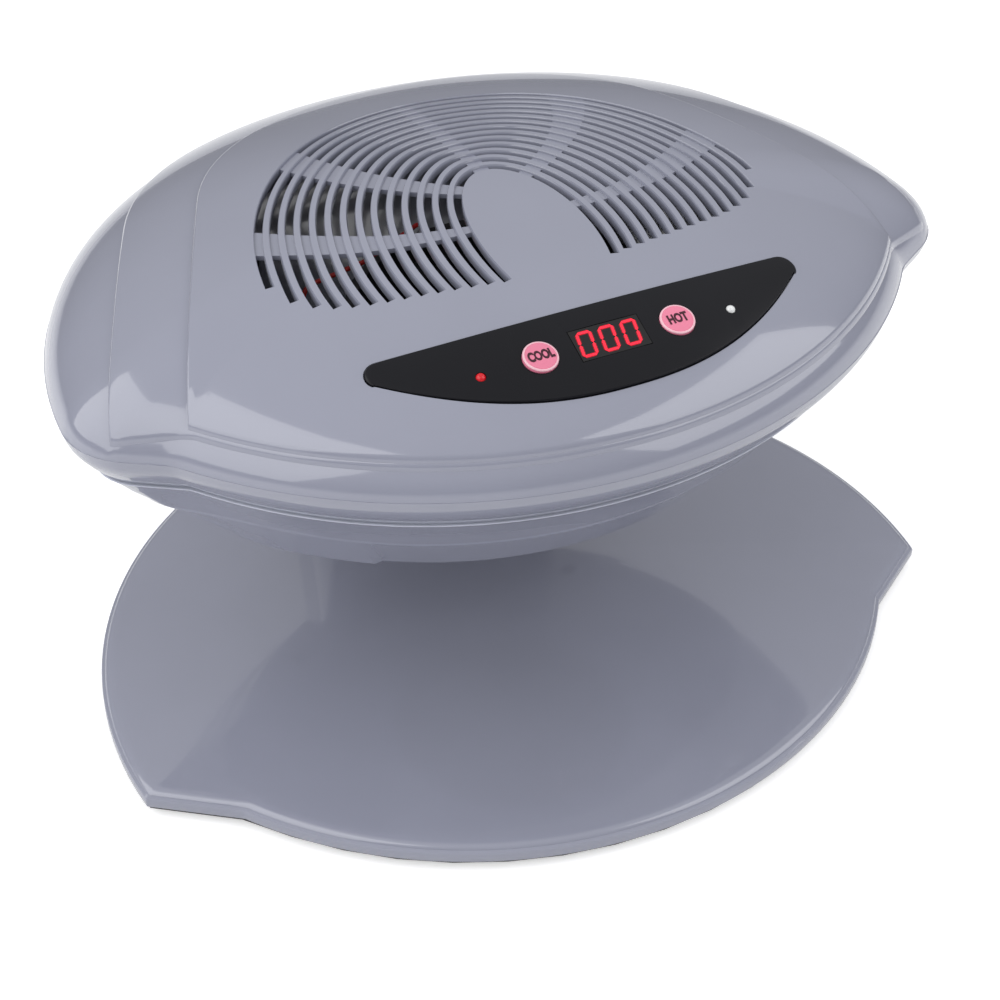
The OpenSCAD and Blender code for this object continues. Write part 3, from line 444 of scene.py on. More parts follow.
class GeometryTree:
    """A Geometry Nodes tree with named inputs, ending in Realize Instances and Set Material."""

    def __init__(self, name: str, inputs: dict[str, str]) -> None:
        """Starts the tree.

        Args:
            name: the tree's name.
            inputs: the kind of each named input: Float, Int or Object.
        """
        self.tree = bpy.data.node_groups.new(name, "GeometryNodeTree")
        self.graph = Graph(self.tree)
        face = self.tree.interface
        face.new_socket("Geometry", in_out="INPUT", socket_type="NodeSocketGeometry")
        self.names = {
            key: face.new_socket(key, in_out="INPUT", socket_type="NodeSocket" + kind).identifier
            for key, kind in {**inputs, "Finish": "Material"}.items()}
        face.new_socket("Geometry", in_out="OUTPUT", socket_type="NodeSocketGeometry")
        self.entry = self.graph.node("NodeGroupInput")

    def given(self, name: str) -> Link:
        """One of the tree's named inputs."""
        return Link(self.graph, self.entry.outputs[name])

    def close(self, geometry: Link) -> None:
        """Ends the tree with what the export needs."""
        real = self.graph.add("GeometryNodeRealizeInstances", None, {0: geometry})
        coated = self.graph.add("GeometryNodeSetMaterial", None,
                                {0: real, "Material": self.given("Finish")})
        self.graph.node("NodeGroupOutput", None, {0: coated})

    def run(self, base: bpy.types.Mesh | None, finish: Finish, **values: float) -> bpy.types.Mesh:
        """Runs the tree on a mesh and returns the plain result.

        Args:
            base: the mesh that the tree starts from, if any.
            finish: the finish that its faces get.
            values: the named inputs, with _ for each space.

        Returns:
            The mesh that the tree made.
        """
        holder = new_object("tree_holder", base or bpy.data.meshes.new("empty"))
        work = holder.modifiers.new("tree", "NODES")
        work.node_group = self.tree
        work[self.names["Finish"]] = finish.material()
        for key, value in values.items():
            work[self.names[key.replace("_", " ")]] = value
        made = evaluated(holder)
        holder.modifiers.remove(work)
        bpy.data.objects.remove(holder)
        return made


def ring_tree() -> GeometryTree:
    """Copies a mesh round Z: named input Count."""
    tree = GeometryTree("copies_round_axis", {"Count": "Int"})
    add = tree.graph.add
    line = add("GeometryNodeMeshLine", None, {"Count": tree.given("Count"), "Offset": (0.0, 0.0, 0.0)})
    index = add("GeometryNodeInputIndex")
    turn = add("ShaderNodeCombineXYZ", None, {"Z": index * (2 * math.pi) / tree.given("Count")})
    base = Link(tree.graph, tree.entry.outputs["Geometry"])
    tree.close(add("GeometryNodeInstanceOnPoints", None,
                   {"Points": line, "Instance": base, "Rotation": turn}))
    return tree


def slat_tree() -> GeometryTree:
    """Fills a circle with parallel slats: named inputs Count, Pitch, Radius."""
    tree = GeometryTree("slats_in_circle", {"Count": "Int", "Pitch": "Float", "Radius": "Float"})
    add = tree.graph.add
    start = tree.given("Pitch") * (tree.given("Count") - 1.0) * -0.5
    line = add("GeometryNodeMeshLine", None, {
        "Count": tree.given("Count"),
        "Start Location": add("ShaderNodeCombineXYZ", None, {"Y": start}),
        "Offset": add("ShaderNodeCombineXYZ", None, {"Y": tree.given("Pitch")})})
    at = add("GeometryNodeInputPosition")
    y = add("ShaderNodeSeparateXYZ", None, {0: at}, "Y")
    reach = (tree.given("Radius") * tree.given("Radius") - y * y).root()
    size = add("ShaderNodeCombineXYZ", None, {"X": reach, "Y": 1.0, "Z": 1.0})
    base = Link(tree.graph, tree.entry.outputs["Geometry"])
    tree.close(add("GeometryNodeInstanceOnPoints", None,
                   {"Points": line, "Instance": base, "Scale": size}))
    return tree


def coil_tree() -> GeometryTree:
    """Coiled wire bent into a ring: named inputs for its turns, steps and radii."""
    tree = GeometryTree("coiled_ring", {"Turns": "Float", "Steps": "Int", "Ring Radius": "Float",
                                        "Coil Radius": "Float", "Wire Radius": "Float"})
    add = tree.graph.add
    line = add("GeometryNodeMeshLine", None, {"Count": tree.given("Steps"), "Offset": (0.0, 0.0, 0.001)})
    way = add("GeometryNodeInputIndex") * (2 * math.pi) / (tree.given("Steps") - 1.0)
    coil = way * tree.given("Turns")
    out = tree.given("Ring Radius") + coil.cos() * tree.given("Coil Radius")
    place = add("ShaderNodeCombineXYZ", None, {
        "X": out * way.cos(), "Y": out * way.sin(), "Z": coil.sin() * tree.given("Coil Radius")})
    moved = add("GeometryNodeSetPosition", None, {"Geometry": line, "Position": place})
    tree.close(tube(tree, add("GeometryNodeMeshToCurve", None, {0: moved}), 6))
    return tree


def tube(tree: GeometryTree, curve: Link, sides: int) -> Link:
    """Gives a curve a round section of the tree's Wire Radius, with closed ends."""
    section = tree.graph.add("GeometryNodeCurvePrimitiveCircle", None,
                             {"Resolution": sides, "Radius": tree.given("Wire Radius")})
    return tree.graph.add("GeometryNodeCurveToMesh", None,
                          {"Curve": curve, "Profile Curve": section, "Fill Caps": True})


def wire_tree() -> GeometryTree:
    """Round wire with soft bends along a line of edges: named inputs Bend Radius, Wire Radius."""
    tree = GeometryTree("wire_on_route", {"Bend Radius": "Float", "Wire Radius": "Float"})
    add = tree.graph.add
    route = add("GeometryNodeMeshToCurve", None, {0: Link(tree.graph, tree.entry.outputs["Geometry"])})
    soft = add("GeometryNodeFilletCurve", dict(mode="POLY"), {
        0: route, "Count": 8, "Radius": tree.given("Bend Radius"), "Limit Radius": True})
    tree.close(tube(tree, soft, 12))
    return tree


# ---------------------------------------------------------------- the piece register


class Register:
    """Sets finished pieces on their bodies and keeps their names."""

    def __init__(self) -> None:
        """Starts with no pieces."""
        self.names: list[str] = []

    def add(self, name: str, mesh: bpy.types.Mesh, finish: Finish | None, body: Body = Body.HOUSING,
            stands_for: Sequence[str] = ()) -> bpy.types.Object:
        """Adds a finished mesh as a piece.

        Args:
            name: the piece's name.
            mesh: its mesh, in place.
            finish: its finish, or None where its faces already have theirs.
            body: what it moves with.
            stands_for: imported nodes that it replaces.

        Returns:
            The piece.
        """
        piece = new_object(name, mesh)
        if finish:
            mesh.materials.clear()
            mesh.materials.append(finish.material())
        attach(piece, body.value)
        if stands_for:
            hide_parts(*stands_for)
        finish.slot if finish else BUTTON.slot
        self.names.append(name)
        LOG.info("%s: %d faces on %s", name, len(mesh.polygons), body.value)
        return piece


# ---------------------------------------------------------------- plan and dome


# From the centre of the head's back to the frame's origin.
PLAN_Y = -21.25
# Farther than any outline: where a line misses a direction.
FAR = 400.0
# Inset at which the head's corners start to grow soft, and how fast they do.
SOFT_FROM, SOFT_SHARE = 9.5, 0.8


@dataclass(frozen=True)
class Wing:
    """Straight front edge of a wing, from its notch outwards, and the radius of its outer corner."""

    notch_x: float
    notch_y: float
    slope: float
    round: float = 0.0


def lesser(first: np.ndarray, second: np.ndarray, soft: float) -> np.ndarray:
    """The lesser of two lengths, with a round join that is soft wide."""
    if soft <= 0.0:
        return np.minimum(first, second)
    share = np.clip(0.5 + 0.5 * (second - first) / soft, 0, 1)
    return second + (first - second) * share - soft * share * (1 - share)


def greater(first: np.ndarray, second: np.ndarray, soft: float) -> np.ndarray:
    """The greater of two lengths, with a round join that is soft wide."""
    return -lesser(-first, -second, soft)


@dataclass(frozen=True)
class Plan:
    """Plan outline of the head or the base, in millimetres from the centre of the head's back."""

    back: float
    back_c: float
    front: float
    front_c: float
    wing: Wing
    pole: float = 33.0

    def to_circle(self, a: np.ndarray, centre: float, radius: float) -> np.ndarray:
        """Distance from the pole to a circle about the given centre, in direction a."""
        k = self.pole - centre
        return -k * np.sin(a) + np.sqrt(radius**2 - (k * np.cos(a)) ** 2)

    def edge(self, a: np.ndarray, inset: float | np.ndarray = 0.0) -> np.ndarray:
        """Distance from the pole to the outline in direction a, moved in by the inset."""
        w, c, s = self.wing, np.abs(np.cos(a)), np.sin(a)
        reach = self.pole + w.notch_y + w.slope * w.notch_x - inset * math.hypot(1, w.slope)
        tilt = w.slope * c - s
        to_wing = np.minimum(FAR, np.where(tilt > 0.01, reach / np.maximum(tilt, 0.01), FAR))
        to_wing = np.where(s < -0.7, 0.0, to_wing)
        back = self.to_circle(a, self.back_c, self.back - inset)
        front = self.to_circle(a, self.front_c, self.front - inset)
        soft = SOFT_SHARE * max(0.0, float(np.max(inset)) - SOFT_FROM) if w.round else 0.0
        plain = lesser(back, greater(front, to_wing, soft), soft)
        if not w.round or np.max(inset) >= w.round:
            return plain
        normal = np.array([w.slope, -1.0]) / math.hypot(1, w.slope)
        far = normal @ [w.notch_x, -w.notch_y] - w.round
        along = math.sqrt((self.back - w.round) ** 2 - far**2)
        middle = far * normal + along * np.array([-normal[1], normal[0]])
        starts = middle + (w.round - inset) * normal
        ends = middle * (self.back - inset) / (self.back - w.round)
        low, high = (math.atan2(p[1] - self.pole, p[0]) for p in (starts, ends))
        fold = np.arctan2(s, c)
        k = middle - [0.0, self.pole]
        d = k[0] * c + k[1] * s
        on_corner = d + np.sqrt(np.maximum(0.0, (w.round - inset) ** 2 - k @ k + d * d))
        if soft:
            on_corner = np.minimum(on_corner, plain)
        return np.where((fold > low) & (fold < high), on_corner, plain)

    def ring(self, a: np.ndarray, inset: float, z: float | np.ndarray) -> np.ndarray:
        """Level ring of the outline, moved in by the inset."""
        return self.at(a, self.edge(a, inset), z)

    def at(self, a: np.ndarray, r: np.ndarray, z: float | np.ndarray) -> np.ndarray:
        """Points at distance r from the pole in direction a."""
        return np.c_[r * np.cos(a), self.pole + r * np.sin(a) + PLAN_Y, np.broadcast_to(z, a.shape)]


HEAD_PLAN = Plan(150.0, 0.0, 158.0, 69.0, Wing(121.0, 30.0, 0.63, 25.0))
BASE_PLAN = Plan(149.0, -6.0, 149.0, 41.5, Wing(122.0, 45.0, 0.7))
# Corners on the right-hand side: the notch, then the ends of the wing's outer corner.
HEAD_CORNERS = ((121.0, -30.0), (138.3, -19.1), (150.0, 2.5))
BASE_CORNERS = ((120.6, -46.0), (147.5, -27.2))


@dataclass(frozen=True)
class Dome:
    """Height of the head's top over its plan, with its two raised plates.

    A plate is given by its tip, the radius of its round back, and its greatest share of the outline.
    The shell is thin where the slots are, from the middle to thin_share of the way out, and thickens
    over the next thicken, and again from rim_share on.
    """

    plan: Plan = HEAD_PLAN
    rim: float = 136.0
    rise: float = 37.5
    power: float = 0.44
    to_front: float = 2.04
    to_side: float = 2.1
    to_back: float = 1.25
    step: float = 1.5
    roll: float = 1.0
    thin: float = 2.6
    thick: float = 4.9
    thin_share: float = 0.52
    thin_wide: float = 0.12
    thicken: float = 0.1
    rim_share: float = 0.8
    rim_gain: float = 6.0
    plate_a: tuple[float, float, float, float] = (121.0, -30.0, 90.0, 0.962)
    plate_b: tuple[float, float, float, float] = (141.0, -17.4, 114.0, 0.988)
    front_share: float = 0.968

    def bare(self, a: np.ndarray, share: np.ndarray) -> np.ndarray:
        """Height at a share of the way from the pole to the outline, without the plates' steps."""
        s = np.sin(a)
        exponent = (self.to_side + (self.to_front - self.to_side) * np.maximum(0, -s) ** 2
                    + (self.to_back - self.to_side) * np.maximum(0, s) ** 2)
        return self.rim + self.rise * (1 - np.clip(share, 0, 1) ** exponent) ** self.power

    def plate(self, a: np.ndarray, tip: tuple[float, float, float, float]) -> np.ndarray:
        """Distance from the pole to a plate's edge: straight sides from its tips, round at the back."""
        x, y, radius, most = tip
        d = math.hypot(x, y - self.plan.pole)
        g = math.atan2(y - self.plan.pole, x) + math.acos(radius / d)
        fold = np.arctan2(np.sin(a), np.abs(np.cos(a)))
        c = np.cos(fold - g)
        side = np.where(c > 0.05, radius / np.maximum(c, 0.05), FAR)
        notch = math.atan2(self.plate_a[1] - self.plan.pole, self.plate_a[0])
        tip_b = math.atan2(self.plate_b[1] - self.plan.pole, self.plate_b[0])
        cap = np.interp(fold, [notch, tip_b], [min(most, self.front_share), most])
        return np.minimum(np.where(fold > g, radius, side), cap * self.plan.edge(a))

    def wall(self, a: np.ndarray, share: float) -> np.ndarray:
        """Upright thickness of the shell: thin where the slots are, thick towards the rim."""
        start = self.thin_share + self.thin_wide * np.abs(np.cos(a))
        t = np.clip((share - start) / self.thicken, 0, 1)
        at_rim = self.rim_gain * max(0.0, share - self.rim_share)
        return self.thin + (self.thick - self.thin) * t * t * (3 - 2 * t) + at_rim

    def drop(self, a: np.ndarray, r: np.ndarray) -> np.ndarray:
        """How far the steps have lowered the top at distance r."""
        first, second = self.plate(a, self.plate_a), self.plate(a, self.plate_b)
        total = np.zeros(np.broadcast(a, r).shape)
        for edge, roll in ((first, self.roll), (second, np.minimum(self.roll, 0.8 * (second - first)))):
            t = np.clip((r - (edge - roll)) / roll, 0, 1)
            total = total + self.step * (1 - np.sqrt(1 - t * t))
        return total

    def height(self, x: np.ndarray, y: np.ndarray) -> np.ndarray:
        """Height of the top over a point of the plan, measured from the head's centre."""
        a, r = np.arctan2(y - self.plan.pole, x), np.hypot(x, y - self.plan.pole)
        top = self.bare(a, r / self.plan.edge(a)) - self.drop(a, r)
        return np.maximum(top, self.rim)

    def normals(self, x: np.ndarray, y: np.ndarray) -> np.ndarray:
        """Outward normals of the top over points of the plan."""
        e = 0.05
        dx = (self.height(x + e, y) - self.height(x - e, y)) / (2 * e)
        dy = (self.height(x, y + e) - self.height(x, y - e)) / (2 * e)
        n = np.c_[-dx, -dy, np.ones_like(dx)]
        return n / np.linalg.norm(n, axis=1, keepdims=True)


DOME = Dome()


def directions(plan: Plan, marks: Sequence[tuple[float, float]], step: float = 1.2) -> np.ndarray:
    """Directions from the pole all the way round, with the given corners among them.

    Args:
        plan: the outline that they are for.
        marks: corners on the right-hand side, as plan points.
        step: the usual angle between two directions, in degrees.

    Returns:
        Angles in radians, symmetric about the middle.
    """
    even = np.arange(-90.0, 90.0001, step)
    exact = np.array([math.degrees(math.atan2(y - plan.pole, x)) for x, y in marks])
    near = np.concatenate([exact + d for d in (-0.5, 0.0, 0.5)])
    even = even[np.min(np.abs(even[:, None] - near[None, :]), axis=1) > 0.35]
    right = np.radians(np.sort(np.concatenate([even, near])))
    return np.concatenate([right, (math.pi - right[::-1])[1:-1]])


# ---------------------------------------------------------------- control panel frame


@dataclass(frozen=True)
class PanelFrame:
    """Where the control panel lies on the dome, and the outline of its leaf.

    The lower edge runs from low to the tip as sweep times a power of the way out.
    """

    back: float = -57.2
    tilt: float = 19.0
    radius: float = 380.0
    proud: float = 0.2
    thick: float = 1.6
    half: float = 71.0
    low: float = 17.2
    high: float = 13.4
    lift: float = 3.3
    tip: float = 4.2
    sweep: float = 28.3
    sweep_power: float = 2.26
    button_x: float = 22.4
    button_r: float = 5.4
    lamp_x: float = 41.0
    lamp_hole_r: float = 1.6
    window: tuple[float, float] = (22.5, 11.2)
    gap: float = 0.2

    def matrix(self) -> Matrix:
        """The panel's own frame in metres: Z points out of the panel."""
        top = float(DOME.height(np.array([0.0]), np.array([self.back]))[0])
        return (Matrix.Translation(Vector((0.0, self.back + PLAN_Y, top)) * MM)
                @ Matrix.Rotation(math.radians(self.tilt), 4, "X"))

    def sag(self, x: float | np.ndarray) -> float | np.ndarray:
        """How far the curved panel lies under its middle at x."""
        return self.radius - np.sqrt(self.radius**2 - np.asarray(x, float) ** 2)

    def sides(self, x: np.ndarray, grow: float = 0.0) -> tuple[np.ndarray, np.ndarray]:
        """Lower and upper edge of the leaf at x, moved out by grow."""
        near = np.linspace(0.0, self.half - 1.5, 60)
        lower = -self.low + self.sweep * (near / self.half) ** self.sweep_power
        slope = np.gradient(lower, near)
        a = np.radians(np.linspace(-44.0, 0.0, 24))
        r = self.tip + grow
        middle = np.array([self.half - self.tip, self.high + self.lift - self.tip])
        xs = np.concatenate([near, middle[0] + r * np.cos(a)])
        ys = np.concatenate([lower - grow * np.hypot(1, slope), middle[1] + r * np.sin(a)])
        reach = np.clip(np.abs(x), 0.0, middle[0] + r)
        over = np.clip(reach - middle[0], 0.0, r)
        upper = self.high + grow + self.lift * (reach / middle[0]) ** 2
        tip = middle[1] + np.sqrt(np.maximum(r**2 - over**2, 0.0))
        return np.interp(reach, xs, ys), np.where(reach < middle[0], upper, tip)

    def slab(self, name: str, grow: float, low: float, high: float | None, roll: float = 0.0
             ) -> bpy.types.Mesh:
        """The leaf as a slab that follows the panel's curve.

        Args:
            name: the mesh's name.
            grow: how far its outline is moved out.
            low: its underside, under the panel's curved face.
            high: its upper side over the face, or None for a flat top well above.
            roll: radius of its rounded top edge.

        Returns:
            The slab in the panel's own frame.
        """
        end = self.half + grow
        x = end * np.sin(np.linspace(-0.5 * math.pi, 0.5 * math.pi, 121))
        x[0], x[-1] = -end + 0.02, end - 0.02
        lower, upper = self.sides(x, grow)
        face = self.proud - self.sag(x)
        turn = np.radians([0.0, 30.0, 60.0, 90.0]) if roll else np.array([0.0])
        rings = []
        for i, at in enumerate(x):
            half = 0.5 * (upper[i] - lower[i])
            r = min(roll, 0.8 * half)
            top = 8.0 if high is None else face[i] + high
            into = max(0.0, (abs(at) - end + r) / r) if roll else 0.0
            edge = r * (1 - math.sqrt(max(0.0, 1 - into**2)))
            left = [(lower[i] + r * (1 - math.cos(t)), top - edge - r * (1 - math.sin(t))) for t in turn]
            right = [(lower[i] + upper[i] - v, z) for v, z in left[::-1]]
            section = [(lower[i], face[i] - low)] + left + right + [(upper[i], face[i] - low)]
            rings.append(np.array([(at, v, z) for v, z in section]))
        return lofted(name, rings)

    def holes(self, button_r: float, low: float, sides: int) -> bpy.types.Mesh:
        """Cutters for both buttons, both lamps and the display window.

        Args:
            button_r: radius of a button's hole.
            low: lower end of the cutters.
            sides: number of sides of a round hole.

        Returns:
            The cutters in the panel's own frame.
        """
        made = []
        for x, r in ((self.button_x, button_r), (self.lamp_x, self.lamp_hole_r)):
            for flip in (1, -1):
                made.append(prism("hole", circle(r, sides) + [flip * x, 0.0], low, 5.0))
        w, h = (0.5 * size + self.gap for size in self.window)
        made.append(prism("hole", np.array([(-w, -h), (w, -h), (w, h), (-w, h)]), low, 5.0))
        return merged(made, "holes")


PANEL_FRAME = PanelFrame()


# ---------------------------------------------------------------- upper shell


@dataclass
class UpperShell:
    """Domed upper shell with its plates, air slots, recessed spokes and panel recess.

    The slots are ovals whose middle, rise and power go from a first value by a change over
    slot_span, from the inmost slot out. A slot's ends lie at leg_end less leg_slope of its radius,
    and the outer ones turn up by leg_flick. A spoke is the ends of its two sides and their bows.
    """

    slots: int = 14
    slot_r: float = 19.4
    pitch: float = 4.86
    width: float = 2.3
    grille_c: float = 12.6
    bevel: float = 0.3
    spoke_depth: float = 0.9
    spoke_thick: float = 1.6
    slot_span: float = 63.2
    oval_mid: tuple[float, float] = (-22.6, 5.0)
    oval_rise: tuple[float, float] = (41.0, 58.0)
    oval_power: tuple[float, float] = (2.0, -0.15)
    leg_end: float = 42.3
    leg_slope: float = 0.19
    leg_flick: float = 17.0
    side_wall: float = 2.5
    button_hole_r: float = 8.1
    mid_spoke: tuple[float, float, float] = (2.6, 9.0, 82.0)
    side_spokes: tuple[tuple, ...] = (((16, -12.3), (84, 11.5), 6.1, (16, -9.2), (82, 27.5), 7.0),
                                      ((9, 6.6), (58, 64), 8.6, (7, 10.2), (47.5, 75), 8.7))
    levels: tuple[tuple[float, float], ...] = (
        (9.5, 121.0), (4.5, 126.5), (1.2, 131.5), (0.0, 136.0))

    def rings(self) -> tuple[list[np.ndarray], list[np.ndarray]]:
        """Outer rings from the seam to the middle, and inner rings from the middle to the seam."""
        a = directions(HEAD_PLAN, [*HEAD_CORNERS, DOME.plate_b[:2], (147.0, -10.0)])
        edge = HEAD_PLAN.edge(a)
        first, second = DOME.plate(a, DOME.plate_a), DOME.plate(a, DOME.plate_b)
        side = rounded(np.array(self.levels), 2, 0.22)
        outer = [HEAD_PLAN.ring(a, inset, z) for inset, z in side]
        roll_b = np.minimum(DOME.roll, 0.8 * (second - first))
        radii = []
        for u in np.linspace(0.0, 1.0, 13)[1:]:
            radii.append(edge - (edge - second - 0.1) * u**2.27)
        radii += self.edge_radii(second, roll_b)
        for u in np.linspace(0.0, 1.0, 11)[1:]:
            radii.append((second - roll_b) + (first + 0.1 - second + roll_b) * u)
        radii += self.edge_radii(first, np.full_like(first, DOME.roll))
        for u in np.linspace(0.0, 1.0, 50)[1:-1]:
            radii.append((first - DOME.roll) * (1 - u))
        for r in radii:
            z = np.maximum(DOME.bare(a, r / edge) - DOME.drop(a, r), DOME.rim)
            outer.append(HEAD_PLAN.at(a, r, z))
        inner = []
        for share in (0.05, 0.15, 0.25, 0.35, 0.44, 0.52, 0.57, 0.62, 0.68, 0.74, 0.82, 0.9, 0.97):
            level = DOME.bare(a, np.full_like(a, share)) - DOME.wall(a, share)
            inner.append(HEAD_PLAN.at(a, share * (edge - self.side_wall), level))
        inner += [HEAD_PLAN.ring(a, inset + self.side_wall, z) for inset, z in side[::-1]]
        return outer, inner

    @staticmethod
    def edge_radii(edge: np.ndarray, roll: np.ndarray) -> list[np.ndarray]:
        """Distances that follow a plate's rounded edge inwards, from its foot to its flat."""
        turns = np.radians([90.0, 80.0, 65.0, 50.0, 35.0, 18.0, 0.0])
        return [edge - roll * (1 - math.sin(t)) for t in turns]

    def slot_cutter(self, radius: float) -> bpy.types.Mesh:
        """Closed cutter of one slot, flared at the dome's surface so that the bars get soft edges."""
        out = self.slot_r + (self.slots - 1) * self.pitch
        along = (radius - self.slot_r) / self.slot_span
        middle, rise, power = (first + change * along for first, change in
                               (self.oval_mid, self.oval_rise, self.oval_power))
        leg = -(self.leg_end - self.leg_slope * radius) + self.leg_flick * (radius / out) ** 10
        up = leg - middle
        end = math.copysign(math.asin((abs(up) / rise) ** (0.5 * power)), up)

        def oval(t: np.ndarray) -> np.ndarray:
            """Points of the slot's middle line."""
            c, v = np.cos(t), np.sin(t)
            return np.c_[radius * np.sign(c) * np.abs(c) ** (2 / power),
                         middle + rise * np.sign(v) * np.abs(v) ** (2 / power)]

        turn = np.linspace(end, math.pi - end, 91)
        mid = oval(turn)
        way = oval(turn + 0.01) - oval(turn - 0.01)
        side = np.c_[way[:, 1], -way[:, 0]] / np.linalg.norm(way, axis=1)[:, None]
        half = 0.5 * self.width
        profile = [(half, -9.0), (half, -0.75), (half + 0.3 * self.bevel, -0.3),
                   (half + self.bevel, -0.02), (half + 1.6 * self.bevel, 2.5)]
        rings = []
        for p, n in zip(mid, side):
            right = [(p + n * w, z) for w, z in profile]
            left = [(p - n * w, z) for w, z in profile[::-1]]
            flat = np.array([q for q, _ in right + left])
            top = DOME.height(flat[:, 0], flat[:, 1] + self.grille_c)
            z = np.array([top[i] + dz for i, (_, dz) in enumerate(right + left)])
            rings.append(np.c_[flat[:, 0], flat[:, 1] + self.grille_c + PLAN_Y, z])
        return lofted("slot", rings)

    def spokes(self) -> list[bpy.types.Mesh]:
        """Spokes under the bars: thin ribs that follow the dome a little way down."""
        x, near, far = self.mid_spoke
        left, right = (np.array([[side, near], [side, far]]) for side in (-x, x))
        made = [self.spoke(left, right, 0.0, 0.0)]
        for flip in (1.0, -1.0):
            for p, q, d, p2, q2, d2 in self.side_spokes:
                low, high = np.array([p, q]) * [flip, 1.0], np.array([p2, q2]) * [flip, 1.0]
                made.append(self.spoke(low, high, d * flip, d2 * flip))
        return made

    def spoke(self, low: np.ndarray, high: np.ndarray, bow: float, bow_2: float) -> bpy.types.Mesh:
        """One spoke between two bowed lines.

        Args:
            low: ends of its first side, from the grille's centre.
            high: ends of its second side.
            bow: how far the first side's middle swings out to its right.
            bow_2: the same for the second side.

        Returns:
            The spoke, in place.
        """
        t = np.linspace(0.0, 1.0, 41)[:, None]

        def line(ends: np.ndarray, swing: float) -> np.ndarray:
            """Points of a bowed line."""
            n = (ends[1] - ends[0]) / np.linalg.norm(ends[1] - ends[0])
            across = np.array([n[1], -n[0]])
            return ends[0] + t * (ends[1] - ends[0]) + across * swing * 4 * t * (1 - t)

        first, second = line(low, bow), line(high, bow_2)
        across = np.linspace(0.0, 1.0, 6)
        rings = []
        for p, q in zip(first, second):
            top = np.array([p + (q - p) * s for s in across])
            z = DOME.height(top[:, 0], top[:, 1] + self.grille_c) - self.spoke_depth
            upper = np.c_[top[:, 0], top[:, 1] + self.grille_c + PLAN_Y, z]
            lower = upper[::-1].copy()
            lower[:, 2] -= self.spoke_thick
            rings.append(np.concatenate([upper, lower]))
        mesh = lofted("spoke", rings)
        return outward(mesh)

    def build(self, register: Register) -> None:
        """Builds the shell and adds it."""
        outer, inner = self.rings()
        skin = closed_shell("upper_skin", outer, inner)
        cutters = [self.slot_cutter(self.slot_r + k * self.pitch) for k in range(self.slots)]
        skin = carved(skin, outward(merged(cutters, "slots")))
        pocket = PANEL_FRAME.slab("pocket", 0.4, PANEL_FRAME.thick + 0.5, None)
        pocket.transform(PANEL_FRAME.matrix())
        skin = carved(skin, outward(pocket))
        holes = PANEL_FRAME.holes(self.button_hole_r, -14.0, 48)
        holes.transform(PANEL_FRAME.matrix())
        skin = carved(skin, holes)
        dress_normals(skin)
        register.add("upper_shell_dome", skin, SHELL, stands_for=["upper_shell"])
        spokes = merged(self.spokes(), "spokes")
        smooth(spokes, 40)
        register.add("upper_shell_spokes", spokes, SHELL)


def outward(mesh: bpy.types.Mesh) -> bpy.types.Mesh:
    """Turns the faces of closed shapes outwards."""
    work = bmesh.new()
    work.from_mesh(mesh)
    bmesh.ops.recalc_face_normals(work, faces=work.faces)
    work.to_mesh(mesh)
    work.free()
    return mesh


def closed_shell(name: str, outer: Sequence[np.ndarray],
                 inner: Sequence[np.ndarray]) -> bpy.types.Mesh:
    """Closes outer rings, from the rim in, and inner rings, back to the rim, into a solid."""
    count = len(outer[0])
    rings = list(outer) + list(inner)
    points = np.concatenate(rings)
    split = len(outer) - 1
    faces = []
    for i in range(len(rings)):
        if i == split:
            continue
        low, high = i, (i + 1) % len(rings)
        for j in range(count):
            k = (j + 1) % count
            faces.append([low * count + j, low * count + k, high * count + k, high * count + j])
    for ring, flip in ((split, False), (split + 1, True)):
        middle = len(points)
        points = np.vstack([points, rings[ring].mean(axis=0)])
        for j in range(count):
            k = (j + 1) % count
            face = [ring * count + j, ring * count + k, middle]
            faces.append(face[::-1] if flip else face)
    return outward(mesh_from(name, points, faces))


def dress_normals(mesh: bpy.types.Mesh) -> None:
    """Gives the top of the carved dome the normals of the whole dome, so that cuts leave no marks."""
    smooth(mesh, 35)
    count = len(mesh.polygons)
    face_n, face_c = np.zeros(count * 3), np.zeros(count * 3)
    mesh.polygons.foreach_get("normal", face_n)
    mesh.polygons.foreach_get("center", face_c)
    face_n, face_c = face_n.reshape(-1, 3), face_c.reshape(-1, 3) / MM
    corners = np.zeros(len(mesh.loops), int)
    mesh.loops.foreach_get("vertex_index", corners)
    points = np.zeros(len(mesh.vertices) * 3)
    mesh.vertices.foreach_get("co", points)
    points = points.reshape(-1, 3) / MM
    totals = np.zeros(count, int)
    mesh.polygons.foreach_get("loop_total", totals)
    owner = np.repeat(np.arange(count), totals)
    x, y = face_c[:, 0], face_c[:, 1] - PLAN_Y
    a, r = np.arctan2(y - HEAD_PLAN.pole, x), np.hypot(x, y - HEAD_PLAN.pole)
    share = r / HEAD_PLAN.edge(a)
    wanted = DOME.normals(x, y)
    top = (share < 0.9) & (np.sum(wanted * face_n, axis=1) > 0.97)
    top &= np.abs(face_c[:, 2] - DOME.height(x, y)) < 0.25
    flat = np.zeros(len(corners) * 3)
    mesh.corner_normals.foreach_get("vector", flat)
    normals = flat.reshape(-1, 3)
    chosen = top[owner]
    p = points[corners[chosen]]
    normals[chosen] = DOME.normals(p[:, 0], p[:, 1] - PLAN_Y)
    mesh.normals_split_custom_set(normals.tolist())


# ---------------------------------------------------------------- lower shell and base


